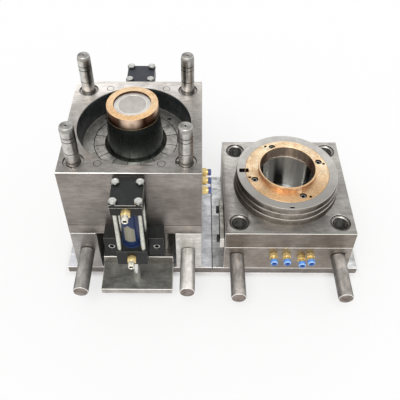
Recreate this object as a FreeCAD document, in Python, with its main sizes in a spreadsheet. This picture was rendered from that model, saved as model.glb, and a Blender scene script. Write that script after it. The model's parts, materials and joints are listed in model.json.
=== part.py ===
import FreeCAD, Part
import Sketcher
import os
import re

# Injection mould for a tapered pail, open, its two halves side by side on the floor.
# The core half stands on the origin, the cavity half beside it towards +X. +Z is up,
# -Y is the side that the support bars and the water fittings look at.

SIZES = {
    # Mould base, shared by both halves
    "plate_side": 350,
    "clamp_length": 410,
    "clamp_thickness": 25,
    "halves_gap": 3,
    "running_gap": 0.1,
    "slide_gap": 0.3,
    "base_screw_radius": 8,
    "lifting_hole_radius": 8,
    "lifting_hole_depth": 30,
    # Core half plates
    "spacer_width": 70,
    "spacer_height": 158,
    "support_thickness": 35,
    "core_plate_thickness": 200,
    "core_screw_x": 140,
    "core_screw_y": 90,
    "base_screw_grip": 30,
    # Round taper lock between the halves
    "lock_height": 60,
    "lock_top_radius": 140,
    "lock_root_radius": 146.5,
    "lock_gap": 0.5,
    # Guide pillars and bushes
    "pillar_radius": 17.5,
    "pillar_offset": 136,
    "pillar_reach": 116.5,
    "pillar_flange_radius": 21,
    "pillar_flange_height": 8,
    "pillar_nose": 10,
    "pillar_groove_width": 1.5,
    "pillar_groove_depth": 0.6,
    "pillar_groove_low": 80,
    "pillar_groove_middle": 42,
    "pillar_groove_high": 30,
    "pillar_centre_radius": 2.5,
    "pillar_relief_radius": 25,
    "pillar_relief_depth": 3,
    "bush_radius": 24,
    "bush_flange_radius": 26,
    "bush_flange_height": 6,
    "bush_relief_radius": 27,
    "bush_relief_depth": 3,
    # Core and its copper tip
    "core_root_radius": 74,
    "core_top_radius": 64.6,
    "core_height": 129,
    "core_seat_depth": 58,
    "tip_height": 32,
    "spigot_radius": 40,
    "spigot_height": 7,
    "core_bolt_radius": 6,
    "core_bolt_circle": 60,
    "core_bolt_grip": 24,
    # Cooling insert inside the core
    "insert_radius": 45,
    "insert_height": 130,
    "insert_bore": 13,
    "insert_land": 6,
    "insert_groove": 12,
    "insert_groove_depth": 6,
    # Air valve in the tip
    "valve_radius": 47,
    "valve_rim": 5,
    "valve_recess": 5,
    "valve_seat_height": 8,
    "valve_step_radius": 36,
    "valve_step_width": 2,
    "valve_step_depth": 1,
    "valve_stem_radius": 8,
    "valve_stem_length": 74,
    "valve_nut_flats": 21,
    "valve_nut_height": 8,
    "spring_wire_radius": 1.2,
    "spring_turns": 5,
    # Rim segments and their angled lifters
    "segment_count": 8,
    "segment_height": 30,
    "rim_outer_radius": 81,
    "rim_depth": 16,
    "split_angle": 0.25,
    "segment_groove": 1.2,
    "lift_angle": 10,
    "lifter_radius": 8,
    "lifter_foot_radius": 12,
    "lifter_foot_height": 8,
    "eject_stroke": 60,
    # Wear ring round the segments
    "wear_ring_height": 15,
    "wear_ring_width": 30,
    "wear_screw_inset": 19,
    "wear_screw_radius": 3.3,
    "wear_screw_head_radius": 5.5,
    "wear_screw_head_depth": 7,
    # Ejector plates
    "ejector_width": 193,
    "ejector_base_margin": 37,
    "ejector_base_thickness": 20,
    "retainer_thickness": 26,
    "stop_height": 5,
    "stop_radius": 10,
    "stop_x": 70,
    "stop_y": 120,
    "return_pin_radius": 10,
    "return_pin_x": 77,
    "return_pin_y": 143,
    "return_head_radius": 14,
    "return_head_height": 6,
    "ejector_screw_radius": 5,
    "ejector_screw_x": 80,
    "ejector_screw_y": 60,
    "ejector_screw_grip": 18,
    # Ejector cylinders, front and rear
    "cylinder_offset": 50,
    "cap_side": 77,
    "head_cap_height": 27,
    "base_cap_height": 54,
    "base_cap_foot": 172,
    "barrel_radius": 23,
    "barrel_bore": 19,
    "barrel_length": 143,
    "barrel_seat_radius": 27,
    "barrel_seat_height": 2.5,
    "piston_height": 20,
    "piston_lift": 10,
    "rod_radius": 11,
    "rod_thread_radius": 8,
    "rod_nut_flats": 24,
    "rod_nut_height": 13,
    "rod_thread_spare": 3,
    "tie_offset": 29.5,
    "tie_radius": 5.5,
    "tie_grip": 20,
    "tie_head_flats": 19,
    "tie_head_height": 8,
    "bracket_width": 78,
    "bracket_reach": 89,
    "bracket_plate": 10,
    "bracket_leg": 11,
    "bracket_leg_length": 110,
    "bracket_screw_radius": 4,
    "bracket_screw_x": 22,
    "bracket_screw_drop": 80,
    "bracket_screw_length": 24,
    "saddle_width": 154,
    "saddle_reach": 42,
    "saddle_height": 76,
    "saddle_foot": 143,
    "saddle_screw_radius": 6,
    "saddle_screw_x": 58.5,
    "saddle_screw_rise": 39,
    "saddle_screw_length": 52,
    "port_flats": 21,
    "port_hex_length": 13,
    "port_end_radius": 8,
    "port_end_length": 17,
    "port_bore": 4.5,
    "port_inset": 12,
    # Round support bars on the front faces
    "bar_radius": 20,
    "bar_chamfer": 2,
    "bar_stud_radius": 12,
    "bar_stud_length": 15,
    "core_bar_x": 138,
    "core_bar_height": 103,
    "core_bar_length": 128,
    "cavity_bar_x": 140,
    "cavity_bar_height": 80,
    "cavity_bar_length": 130,
    # Push-in water fittings
    "channel_radius": 4,
    "channel_depth": 60,
    "fitting_thread_radius": 6.5,
    "fitting_thread_length": 11,
    "fitting_flats": 21,
    "fitting_hex_length": 12,
    "fitting_neck_radius": 9,
    "fitting_neck_length": 9,
    "collet_radius": 10,
    "collet_length": 11,
    "core_fitting_height": 66,
    "core_fitting_near": 110,
    "core_fitting_middle": 76,
    "core_fitting_far": 46,
    "cavity_fitting_height": 67,
    "cavity_fitting_drop": 10,
    "cavity_fitting_first": 39.6,
    "cavity_fitting_second": 3.6,
    "cavity_fitting_third": 38,
    "cavity_fitting_fourth": 62,
    # Cavity half
    "cavity_back_thickness": 97,
    "cavity_plate_thickness": 62,
    "cavity_screw_x": 150,
    "cavity_screw_y": 80,
    "wall_thickness": 2.5,
    "rim_ring_margin": 26,
    "rim_ring_height": 24,
    "collar_gap": 0.3,
    "rim_screw_inset": 8,
    "rim_screw_radius": 5,
    "rim_head_way": 9,
    "rim_head_depth": 14,
    "rim_screw_length": 30,
    "rim_screw_angle": 20,
    "jack_hole_inset": 19,
    "jack_hole_radius": 3.5,
    "jack_hole_depth": 14,
    "jack_side_angle": 14,
    "jack_front_angle": 119,
    "key_slot_start": 107,
    "key_slot_end": 133,
    "key_slot_width": 14,
    "key_slot_depth": 12,
    "lock_ledge": 1.1,
    "boss_mark_length": 12,
    "boss_mark_width": 5,
    "boss_mark_depth": 3,
    "boss_mark_inset": 7,
    "sleeve_radius": 90,
    "gate_insert_height": 50,
    "gate_radius": 1.5,
    "gate_land": 4.5,
    "sprue_radius": 14,
    "sprue_flange_radius": 25,
    "sprue_flange_height": 13,
    "runner_small_radius": 2.5,
    "runner_large_radius": 4.5,
    "locating_radius": 50,
    "locating_depth": 12,
    # Lock strap on the left face of the cavity plate
    "strap_thickness": 11.5,
    "strap_width": 38,
    "strap_length": 137,
    "strap_level": 142,
    "strap_margin": 21,
    "strap_gap": 2,
    "strap_pitch": 100,
    "strap_front_inset": 16,
    "strap_bolt_radius": 6,
    "strap_bolt_flats": 19,
    "strap_bolt_head": 8,
    "strap_bolt_grip": 18,
}

UP = FreeCAD.Rotation()
DOWN = FreeCAD.Rotation(FreeCAD.Vector(1, 0, 0), 180)
FORWARD = FreeCAD.Rotation(FreeCAD.Vector(1, 0, 0), 90)
BACKWARD = FreeCAD.Rotation(FreeCAD.Vector(1, 0, 0), -90)
RIGHT = FreeCAD.Rotation(FreeCAD.Vector(0, 1, 0), 90)
LEFT = FreeCAD.Rotation(FreeCAD.Vector(0, 1, 0), -90)

# Levels and places that several pieces share, written in the words of the sheet
SUPPORT_FOOT = "(clamp_thickness + spacer_height)"
CORE_FOOT = f"({SUPPORT_FOOT} + support_thickness)"
CORE_FACE = f"({CORE_FOOT} + core_plate_thickness)"
FLOOR = f"({CORE_FACE} - lock_height)"
SEGMENT_FOOT = f"({FLOOR} - segment_height)"
CORE_SEAT = f"({FLOOR} - core_seat_depth)"
TIP_FOOT = f"({FLOOR} + core_height - tip_height)"
TIP_RADIUS = ("(core_root_radius - (core_root_radius - core_top_radius)"
              " * (core_height - tip_height) / core_height)")
VALVE_FOOT = f"({FLOOR} + core_height - valve_recess - valve_rim - valve_seat_height - valve_stem_length)"
EJECTOR_FOOT = "(clamp_thickness + stop_height)"
RETAINER_FOOT = f"({EJECTOR_FOOT} + ejector_base_thickness)"
LIFTER_FOOT = f"({RETAINER_FOOT} + slide_gap)"
SEGMENT_OUTER_RADIUS = "(lock_top_radius - wear_ring_width)"
SEGMENT_FOOT_RADIUS = f"({SEGMENT_OUTER_RADIUS} - segment_height * tan(lift_angle))"
LIFTER_CIRCLE = f"((core_root_radius + {SEGMENT_FOOT_RADIUS}) / 2)"
LIFTER_FOOT_RADIUS = f"({LIFTER_CIRCLE} - ({SEGMENT_FOOT} - {LIFTER_FOOT}) * tan(lift_angle))"
WEAR_SCREW_CIRCLE = "(lock_top_radius - wear_screw_inset)"
CYLINDER_Y = "(plate_side / 2 + cylinder_offset)"
BARREL_FOOT = "(base_cap_foot + base_cap_height)"
HEAD_CAP_FOOT = f"({BARREL_FOOT} + barrel_length)"
BRACKET_FOOT = f"({HEAD_CAP_FOOT} + head_cap_height)"
CAVITY_X = "(clamp_length + halves_gap)"
CAVITY_FOOT = "(clamp_thickness + cavity_back_thickness)"
CAVITY_FACE = f"({CAVITY_FOOT} + cavity_plate_thickness)"
LOCK_FACE = f"({CAVITY_FACE} + lock_height)"
RIM_RING_RADIUS = "(sleeve_radius + rim_ring_margin)"
RIM_SCREW_CIRCLE = "(sleeve_radius + rim_screw_inset)"
JACK_CIRCLE = "(sleeve_radius + jack_hole_inset)"
COLLAR_TOP = "(rim_ring_height + rim_depth - collar_gap)"
MOULDING_DEPTH = "(core_height + wall_thickness)"
CAVITY_BOTTOM = f"({LOCK_FACE} - {MOULDING_DEPTH})"
CAVITY_TOP_RADIUS = "(core_root_radius + wall_thickness)"
CAVITY_BOTTOM_RADIUS = "(core_top_radius + wall_thickness)"
SLEEVE_TOP_RADIUS = (f"({CAVITY_TOP_RADIUS} - ({CAVITY_TOP_RADIUS} - {CAVITY_BOTTOM_RADIUS})"
                     f" * rim_ring_height / {MOULDING_DEPTH})")

CORNERS = [(-1, -1), (1, -1), (1, 1), (-1, 1)]
FIRST_SEGMENT_ANGLE = 192.5
PARTS = []

doc = FreeCAD.newDocument("InjectionMould")
sheet = doc.addObject("Spreadsheet::Sheet", "Sizes")
for row, (alias, size) in enumerate(SIZES.items(), 1):
    sheet.set(f"A{row}", alias)
    sheet.set(f"B{row}", str(size))
    sheet.setAlias(f"B{row}", alias)
doc.recompute()


def tied(words):
    """The expression for the sheet: every size's name points at its cell."""
    return re.sub(r"[a-z][a-z_]*", lambda found: "Sizes." + found.group()
                  if found.group() in SIZES else found.group(), words)


def worth(words):
    """The number that an expression has now."""
    return float(sheet.evalExpression(tied(words)))


def bind(item, **sizes):
    """Ties properties of an object to expressions."""
    for name, words in sizes.items():
        item.setExpression(name, tied(words))
    return item


def place(item, x="0", y="0", z="0", turn=UP):
    """Turns an object and ties its place to expressions."""
    item.Placement = FreeCAD.Placement(FreeCAD.Vector(), turn)
    for axis, words in zip("xyz", (x, y, z)):
        item.setExpression("Placement.Base." + axis, tied(words))
    return item


def part(label, item):
    """Names a finished piece."""
    item.Label = label
    PARTS.append(item)
    return item


# Primitives and booleans

def box(name, length, width, height, x="0", y="0", z="0"):
    """A block centred on x and y that stands on z."""
    block = bind(doc.addObject("Part::Box", name), Length=length, Width=width, Height=height)
    return place(block, f"{x} - ({length}) / 2", f"{y} - ({width}) / 2", z)


def cylinder(name, radius, height, x="0", y="0", z="0", turn=UP):
    rod = bind(doc.addObject("Part::Cylinder", name), Radius=radius, Height=height)
    return place(rod, x, y, z, turn)


def hexagon(name, flats, height, x="0", y="0", z="0", turn=UP):
    prism = doc.addObject("Part::Prism", name)
    prism.Polygon = 6
    bind(prism, Circumradius=f"({flats}) / sqrt(3)", Height=height)
    return place(prism, x, y, z, turn)


def fuse(name, shapes):
    joined = doc.addObject("Part::MultiFuse", name)
    joined.Shapes = shapes
    return joined


def cut(name, base, tools):
    less = doc.addObject("Part::Cut", name)
    less.Base = base
    less.Tool = tools[0] if len(tools) == 1 else fuse(name + "_tools", tools)
    return less


def copies(name, master, places):
    """The same piece again at each (x, y, z, turn)."""
    links = []
    for x, y, z, turn in places:
        link = doc.addObject("App::Link", name + "_copy")
        link.LinkedObject = master
        links.append(place(link, x, y, z, turn))
    group = doc.addObject("Part::Compound", name)
    group.Links = links
    return group


# Sketched bodies

def sketch_on(body, role, name, level="0"):
    """A sketch on one of the body's own planes, lifted to a level along its normal."""
    sketch = body.newObject("Sketcher::SketchObject", name)
    plane = next(item for item in body.Origin.OriginFeatures if item.Role == role)
    sketch.AttachmentSupport = [(plane, "")]
    sketch.MapMode = "FlatFace"
    if level != "0":
        sketch.setExpression("AttachmentOffset.Base.z", tied(level))
    return sketch


def pin_point(sketch, edge, end, x, y):
    """Holds a sketch point at two expressions, or on an axis where one is 0."""
    for kind, words, axis in (("DistanceX", x, -2), ("DistanceY", y, -1)):
        if words == "0":
            sketch.addConstraint(Sketcher.Constraint("PointOnObject", edge, end, axis))
        else:
            held = Sketcher.Constraint(kind, -1, 1, edge, end, worth(words))
            index = sketch.addConstraint(held)
            sketch.setExpression(f"Constraints[{index}]", tied(words))


def outline(sketch, corners):
    """A closed outline of straight edges through corners given as expressions."""
    spots = [FreeCAD.Vector(worth(x), worth(y), 0) for x, y in corners]
    count = len(spots)
    for index in range(count):
        line = Part.LineSegment(spots[index], spots[(index + 1) % count])
        sketch.addGeometry(line, False)
    for index in range(count):
        sketch.addConstraint(Sketcher.Constraint("Coincident", index, 2, (index + 1) % count, 1))
    for index, (x, y) in enumerate(corners):
        pin_point(sketch, index, 1, x, y)


def turned(name, corners):
    """A body turned about its own axis from a profile of (radius, height) corners."""
    body = doc.addObject("PartDesign::Body", name)
    profile = sketch_on(body, "XZ_Plane", name + "_profile")
    outline(profile, corners)
    turning = body.newObject("PartDesign::Revolution", name + "_turning")
    turning.Profile = profile
    turning.ReferenceAxis = (profile, ["V_Axis"])
    turning.Angle = 360
    return body


def groove(body, name, corners):
    """Turns a profile of (radius, height) corners away from a body."""
    profile = sketch_on(body, "XZ_Plane", name + "_profile")
    outline(profile, corners)
    turning = body.newObject("PartDesign::Groove", name)
    turning.Profile = profile
    turning.ReferenceAxis = (profile, ["V_Axis"])
    turning.Angle = 360


def plate(name, length, width, thickness):
    """A body padded from a rectangle centred on its origin."""
    body = doc.addObject("PartDesign::Body", name)
    face = sketch_on(body, "XY_Plane", name + "_outline")
    half = [(f"{sx} * ({length}) / 2", f"{sy} * ({width}) / 2") for sx, sy in CORNERS]
    outline(face, half)
    pad = body.newObject("PartDesign::Pad", name + "_pad")
    pad.Profile = face
    bind(pad, Length=thickness)
    return body


def holes(body, name, radius, centres, top, depth):
    """Round pockets of one size, down from a level of the body."""
    face = sketch_on(body, "XY_Plane", name + "_centres", top)
    for index, (x, y) in enumerate(centres):
        centre = FreeCAD.Vector(worth(x), worth(y), 0)
        face.addGeometry(Part.Circle(centre, FreeCAD.Vector(0, 0, 1), worth(radius)), False)
        pin_point(face, index, 3, x, y)
        bore = face.addConstraint(Sketcher.Constraint("Radius", index, worth(radius)))
        face.setExpression(f"Constraints[{bore}]", tied(radius))
    pocket = body.newObject("PartDesign::Pocket", name)
    pocket.Profile = face
    bind(pocket, Length=depth)


def at_corners(x, y):
    return [(f"{sx} * {x}", f"{sy} * {y}") for sx, sy in CORNERS]


def core_fitting_places():
    return [f"-core_fitting_{name}" for name in ("near", "middle", "far")]


def on_circle(radius, angles):
    """Centres on a circle, each angle in degrees, as a number or as words."""
    return [(f"{radius} * cos({angle})", f"{radius} * sin({angle})") for angle in angles]


def socket_screw(name, radius, length):
    """A socket-head screw pointing down, the underside of its head at its origin."""
    head = cylinder(name + "_head", f"1.5 * {radius}", f"2 * {radius}")
    shank = cylinder(name + "_shank", radius, length, turn=DOWN)
    socket = hexagon(name + "_socket", f"1.6 * {radius}", f"1.2 * {radius}", z=f"{radius}")
    return cut(name, fuse(name + "_blank", [head, shank]), [socket])


def hex_bolt(name, radius, length, flats, head_height):
    """A hexagon bolt pointing down, the underside of its head at its origin."""
    head = hexagon(name + "_head", flats, head_height)
    shank = cylinder(name + "_shank", radius, length, turn=DOWN)
    return fuse(name, [head, shank])


# Core half: clamping plate, spacers, support plate and core plate

def core_base():
    centres = at_corners("core_screw_x", "core_screw_y")
    clamp = plate("core_clamp_body", "clamp_length", "plate_side", "clamp_thickness")
    holes(clamp, "core_clamp_screw_ways", "base_screw_radius", centres,
          "clamp_thickness", "clamp_thickness")
    holes(clamp, "core_clamp_head_ways", "1.5 * base_screw_radius + slide_gap", centres,
          "2 * base_screw_radius + 1", "2 * base_screw_radius + 1")
    part("core_clamp_plate", place(clamp))

    for label, side in (("left_spacer", -1), ("right_spacer", 1)):
        middle = f"{side} * (plate_side - spacer_width) / 2"
        rail = box(label + "_block", "spacer_width", "plate_side", "spacer_height",
                   middle, "0", "clamp_thickness")
        ways = [cylinder(label + "_way", "base_screw_radius", "spacer_height",
                         f"{side} * core_screw_x", f"{end} * core_screw_y", "clamp_thickness")
                for end in (-1, 1)]
        socket = cylinder(label + "_socket", "bar_stud_radius", "bar_stud_length",
                          f"{side} * core_bar_x", "-plate_side / 2", "core_bar_height", BACKWARD)
        part(label, cut(label + "_rail", rail, ways + [socket]))

    support = plate("support_body", "plate_side", "plate_side", "support_thickness")
    holes(support, "support_screw_ways", "base_screw_radius", centres,
          "support_thickness", "support_thickness")
    holes(support, "support_pin_ways", "return_pin_radius + slide_gap",
          at_corners("return_pin_x", "return_pin_y"), "support_thickness", "support_thickness")
    place(support, z=SUPPORT_FOOT)
    ways = lifter_ways("support_lifter_way", "lifter_radius + slide_gap")
    for side, turn in ((-1, BACKWARD), (1, FORWARD)):
        for end in (-1, 1):
            depth = "saddle_screw_length - saddle_reach + 2 * saddle_screw_radius + 2"
            ways.append(cylinder("saddle_screw_way", "saddle_screw_radius", depth,
                                 f"{end} * saddle_screw_x", f"{side} * plate_side / 2",
                                 "saddle_foot + saddle_screw_rise", turn))
    part("support_plate", cut("support_plate_cut", support, ways))

    screw = socket_screw("core_clamp_screw", "base_screw_radius",
                         f"{CORE_FOOT} + base_screw_grip - 2 * base_screw_radius - 1")
    part("core_clamp_screws", copies("core_clamp_screw_set", screw,
         [(x, y, "2 * base_screw_radius + 1", DOWN) for x, y in centres]))


def lifter_ways(name, radius):
    """The inclined bores that the lifters run in, from the ejector plates to the segments."""
    bore = cylinder(name + "_bore", radius,
                    f"({SEGMENT_FOOT} - {LIFTER_FOOT}) / cos(lift_angle) + lifter_radius")
    place(bore, LIFTER_FOOT_RADIUS, "0", LIFTER_FOOT, FreeCAD.Rotation(FreeCAD.Vector(0, 1, 0), 1))
    bore.setExpression("Placement.Rotation.Angle", tied("lift_angle"))
    holder = doc.addObject("Part::Compound", name + "_master")
    holder.Links = [bore]
    return [copies(f"{name}_{count + 1}", holder, [("0", "0", "0", turn)])
            for count, turn in enumerate(segment_turns())]


def segment_turns():
    """The turn about the mould's axis of each segment's middle."""
    count = int(SIZES["segment_count"])
    return [FreeCAD.Rotation(FreeCAD.Vector(0, 0, 1), FIRST_SEGMENT_ANGLE + 360 / count * index)
            for index in range(count)]


def core_plate():
    body = plate("core_plate_body", "plate_side", "plate_side", "core_plate_thickness")
    floor = "(core_plate_thickness - lock_height)"
    ring_seat = f"({floor} - wear_ring_height)"
    segment_seat = f"({floor} - segment_height - slide_gap)"
    groove(body, "core_recess", [
        ("0", f"{floor} - core_seat_depth"),
        ("core_root_radius", f"{floor} - core_seat_depth"),
        ("core_root_radius", segment_seat),
        (f"{SEGMENT_FOOT_RADIUS} + slide_gap", segment_seat),
        (f"{SEGMENT_OUTER_RADIUS} + slide_gap - wear_ring_height * tan(lift_angle)", ring_seat),
        ("lock_top_radius", ring_seat),
        ("lock_top_radius", floor),
        ("lock_top_radius + lock_gap", floor),
        ("lock_root_radius + lock_gap", "core_plate_thickness"),
        ("0", "core_plate_thickness"),
    ])
    top = "core_plate_thickness"
    pillars = at_corners("pillar_offset", "pillar_offset")
    holes(body, "pillar_ways", "pillar_radius", pillars, top, top)
    holes(body, "pillar_relief", "pillar_relief_radius", pillars, top, "pillar_relief_depth")
    holes(body, "pillar_flange_seats", "pillar_flange_radius + slide_gap", pillars,
          "pillar_flange_height", "pillar_flange_height")
    holes(body, "return_pin_ways", "return_pin_radius + running_gap",
          at_corners("return_pin_x", "return_pin_y"), top, top)
    bolts = on_circle("core_bolt_circle", core_bolt_angles())
    holes(body, "core_bolt_ways", "core_bolt_radius", bolts,
          f"{floor} - core_seat_depth", f"{floor} - core_seat_depth")
    holes(body, "core_bolt_head_ways", "1.5 * core_bolt_radius + slide_gap", bolts,
          "2 * core_bolt_radius + 1", "2 * core_bolt_radius + 1")
    holes(body, "base_screw_ends", "base_screw_radius",
          at_corners("core_screw_x", "core_screw_y"), "base_screw_grip", "base_screw_grip")
    holes(body, "wear_screw_ends", "wear_screw_radius",
          on_circle(WEAR_SCREW_CIRCLE, (45, 135, 225, 315)), ring_seat, "wear_ring_height")
    place(body, z=CORE_FOOT)

    tools = lifter_ways("core_lifter_way", "lifter_radius + running_gap")
    for y in core_fitting_places():
        level = f"{CORE_FOOT} + core_fitting_height"
        tools.append(cylinder("core_channel", "channel_radius", "channel_depth",
                              "plate_side / 2", y, level, LEFT))
        tools.append(cylinder("core_port", "fitting_thread_radius", "fitting_thread_length",
                              "plate_side / 2", y, level, LEFT))
    for side, turn in ((-1, BACKWARD), (1, FORWARD)):
        for end in (-1, 1):
            tools.append(cylinder("bracket_screw_way", "bracket_screw_radius", "bracket_screw_length",
                                  f"{end} * bracket_screw_x", f"{side} * plate_side / 2",
                                  f"{BRACKET_FOOT} + bracket_plate - bracket_screw_drop", turn))
    tools.append(cylinder("core_lifting_hole", "lifting_hole_radius", "lifting_hole_depth",
                          "-plate_side / 2", "0", f"{CORE_FOOT} + core_plate_thickness / 2", RIGHT))
    part("core_plate", cut("core_plate_cut", body, tools))


def core_bolt_angles():
    """Four bolts, each under a joint between two segments and clear of the lifters."""
    return [FIRST_SEGMENT_ANGLE - 22.5 + 90 * index for index in range(4)]


def guide_pillars():
    length = "(core_plate_thickness + pillar_reach)"
    nose = "(pillar_radius - pillar_nose * tan(15))"
    corners = [("0", "0"), ("pillar_flange_radius", "0"),
               ("pillar_flange_radius", "pillar_flange_height"), ("pillar_radius", "pillar_flange_height")]
    for drop in ("low", "middle", "high"):
        low = f"({length} - pillar_groove_{drop})"
        high = f"({low} + pillar_groove_width)"
        dip = "(pillar_radius - pillar_groove_depth)"
        corners += [("pillar_radius", low), (dip, low), (dip, high), ("pillar_radius", high)]
    corners += [("pillar_radius", f"{length} - pillar_nose"), (nose, f"{length} - pillar_nose / 5"),
                (f"{nose} - pillar_nose / 5", length), ("pillar_centre_radius", length),
                ("0", f"{length} - pillar_centre_radius")]
    pillar = turned("guide_pillar", corners)
    part("guide_pillars", copies("guide_pillar_set", pillar,
         [(x, y, CORE_FOOT, UP) for x, y in at_corners("pillar_offset", "pillar_offset")]))


# Core, cooling insert, copper tip and air valve

def core():
    step = "(core_seat_depth + core_height - tip_height)"
    top = f"({step} + spigot_height)"
    body = turned("core_turning", [
        ("insert_radius", "0"), ("core_root_radius", "0"), ("core_root_radius", "core_seat_depth"),
        (TIP_RADIUS, step), ("spigot_radius", step), ("spigot_radius", top),
        ("valve_stem_radius + running_gap", top),
        ("valve_stem_radius + running_gap", "insert_height"),
        ("insert_radius", "insert_height"),
    ])
    holes(body, "core_bolt_ends", "core_bolt_radius",
          on_circle("core_bolt_circle", core_bolt_angles()), "core_bolt_grip", "core_bolt_grip")
    part("core_body", place(body, z=CORE_SEAT))

    corners = [("insert_bore", "0"), ("insert_radius", "0")]
    for index in range(6):
        low = f"(insert_land + {index} * (insert_land + insert_groove))"
        floor = "(insert_radius - insert_groove_depth)"
        corners += [("insert_radius", low), (floor, low), (floor, f"{low} + insert_groove"),
                    ("insert_radius", f"{low} + insert_groove")]
    corners += [("insert_radius", "insert_height"), ("insert_bore", "insert_height")]
    part("cooling_insert", place(turned("cooling_turning", corners), z=CORE_SEAT))

    seat = "(tip_height - valve_recess - valve_rim)"
    lip = "(valve_radius + slide_gap)"
    tip = turned("tip_turning", [
        ("spigot_radius", "0"), (TIP_RADIUS, "0"), ("core_top_radius", "tip_height"),
        (lip, "tip_height"), (lip, seat), ("spigot_radius", f"{seat} - ({lip} - spigot_radius)"),
    ])
    part("core_tip", place(tip, z=TIP_FOOT))

    bolt = socket_screw("core_bolt", "core_bolt_radius",
                        f"{CORE_SEAT} - {CORE_FOOT} - 2 * core_bolt_radius - 1 + core_bolt_grip")
    part("core_bolts", copies("core_bolt_set", bolt,
         [(x, y, f"{CORE_FOOT} + 2 * core_bolt_radius + 1", DOWN)
          for x, y in on_circle("core_bolt_circle", core_bolt_angles())]))


def air_valve():
    under = "valve_stem_length"
    rim = f"({under} + valve_seat_height)"
    face = f"({rim} + valve_rim)"
    step_in = "(valve_step_radius - valve_step_width / 2)"
    step_out = "(valve_step_radius + valve_step_width / 2)"
    head = turned("valve_turning", [
        ("0", "0"), ("valve_stem_radius", "0"), ("valve_stem_radius", under),
        ("valve_radius - valve_seat_height", under), ("valve_radius", rim), ("valve_radius", face),
        (step_out, face), (step_out, f"{face} - valve_step_depth"),
        (step_in, f"{face} - valve_step_depth"), (step_in, face), ("0", face),
    ])
    part("air_valve", place(head, z=VALVE_FOOT))
    nut = hexagon("valve_nut_blank", "valve_nut_flats", "valve_nut_height", z=VALVE_FOOT)
    bore = cylinder("valve_nut_bore", "valve_stem_radius", "valve_nut_height", z=VALVE_FOOT)
    part("valve_nut", cut("valve_nut_cut", nut, [bore]))

    low = f"({VALVE_FOOT} + valve_nut_height + spring_wire_radius + running_gap)"
    high = f"({CORE_SEAT} + insert_height - spring_wire_radius - running_gap)"
    mean = "(valve_stem_radius + insert_bore) / 2"
    coil = doc.addObject("Part::Helix", "spring_coil")
    bind(coil, Height=f"{high} - {low}", Pitch=f"({high} - {low}) / spring_turns", Radius=mean)
    place(coil, z=low)
    wire = doc.addObject("Part::Circle", "spring_wire")
    bind(wire, Radius="spring_wire_radius")
    place(wire, x=mean, z=low, turn=FORWARD)
    spring = doc.addObject("Part::Sweep", "spring_sweep")
    spring.Sections = [wire]
    spring.Spine = (coil, [])
    spring.Solid = True
    spring.Frenet = True
    part("valve_spring", spring)


# Rim segments on angled lifters, and the ring that they seat in

def rim_segments():
    body = doc.addObject("PartDesign::Body", "segment_body")
    profile = sketch_on(body, "XZ_Plane", "segment_profile")
    lip = "(segment_height - rim_depth)"
    inner = "(core_root_radius + slide_gap)"
    outline(profile, [
        (inner, "0"), (SEGMENT_FOOT_RADIUS, "0"), (SEGMENT_OUTER_RADIUS, "segment_height"),
        ("rim_outer_radius", "segment_height"), ("rim_outer_radius", lip), (inner, lip),
    ])
    sector = body.newObject("PartDesign::Revolution", "segment_sector")
    sector.Profile = profile
    sector.ReferenceAxis = (profile, ["V_Axis"])
    sector.Midplane = True
    bind(sector, Angle="360 / segment_count - split_angle")
    place(body, z=SEGMENT_FOOT)

    rod = cylinder("lifter_rod", "lifter_radius",
                   f"({SEGMENT_FOOT} - {LIFTER_FOOT}) / cos(lift_angle)",
                   f"{LIFTER_FOOT_RADIUS} + lifter_foot_height / 2 * tan(lift_angle)", "0",
                   f"{LIFTER_FOOT} + lifter_foot_height / 2",
                   FreeCAD.Rotation(FreeCAD.Vector(0, 1, 0), 1))
    rod.setExpression("Placement.Rotation.Angle", tied("lift_angle"))
    foot = cylinder("lifter_foot", "lifter_foot_radius", "lifter_foot_height",
                    LIFTER_FOOT_RADIUS, "0", LIFTER_FOOT)
    mark = box("segment_mark", SEGMENT_OUTER_RADIUS, "segment_groove", "segment_groove",
               SEGMENT_OUTER_RADIUS, "0", f"{FLOOR} - segment_groove")
    lifter = cut("segment_master", fuse("segment_joined", [body, rod, foot]), [mark])
    for index, turn in enumerate(segment_turns(), 1):
        part(f"segment_{index}", copies(f"segment_place_{index}", lifter, [("0", "0", "0", turn)]))


def wear_ring():
    """The ring round the segments, with a groove on from each of their joints and marks."""
    mouth = f"({SEGMENT_OUTER_RADIUS} + slide_gap)"
    ring = turned("wear_turning", [
        (f"{mouth} - wear_ring_height * tan(lift_angle)", "0"), ("lock_top_radius", "0"),
        ("lock_top_radius", "wear_ring_height"), (mouth, "wear_ring_height"),
    ])
    centres = on_circle(WEAR_SCREW_CIRCLE, (45, 135, 225, 315))
    holes(ring, "wear_screw_ways", "wear_screw_radius", centres, "wear_ring_height", "wear_ring_height")
    holes(ring, "wear_head_ways", "wear_screw_head_radius", centres,
          "wear_ring_height", "wear_screw_head_depth")
    place(ring, z=f"{FLOOR} - wear_ring_height")
    mark = box("wear_mark", "2 * wear_ring_width", "segment_groove", "segment_groove",
               "lock_top_radius - wear_ring_width / 2", "0", f"{FLOOR} - segment_groove")
    half_step = FreeCAD.Rotation(FreeCAD.Vector(0, 0, 1), 180 / int(SIZES["segment_count"]))
    turns = [turn * step for turn in segment_turns() for step in (UP, half_step)]
    marks = copies("wear_marks", mark, [("0", "0", "0", turn) for turn in turns])
    part("wear_ring", cut("wear_ring_cut", ring, [marks]))


# Ejector plates, return pins and stops

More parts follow.
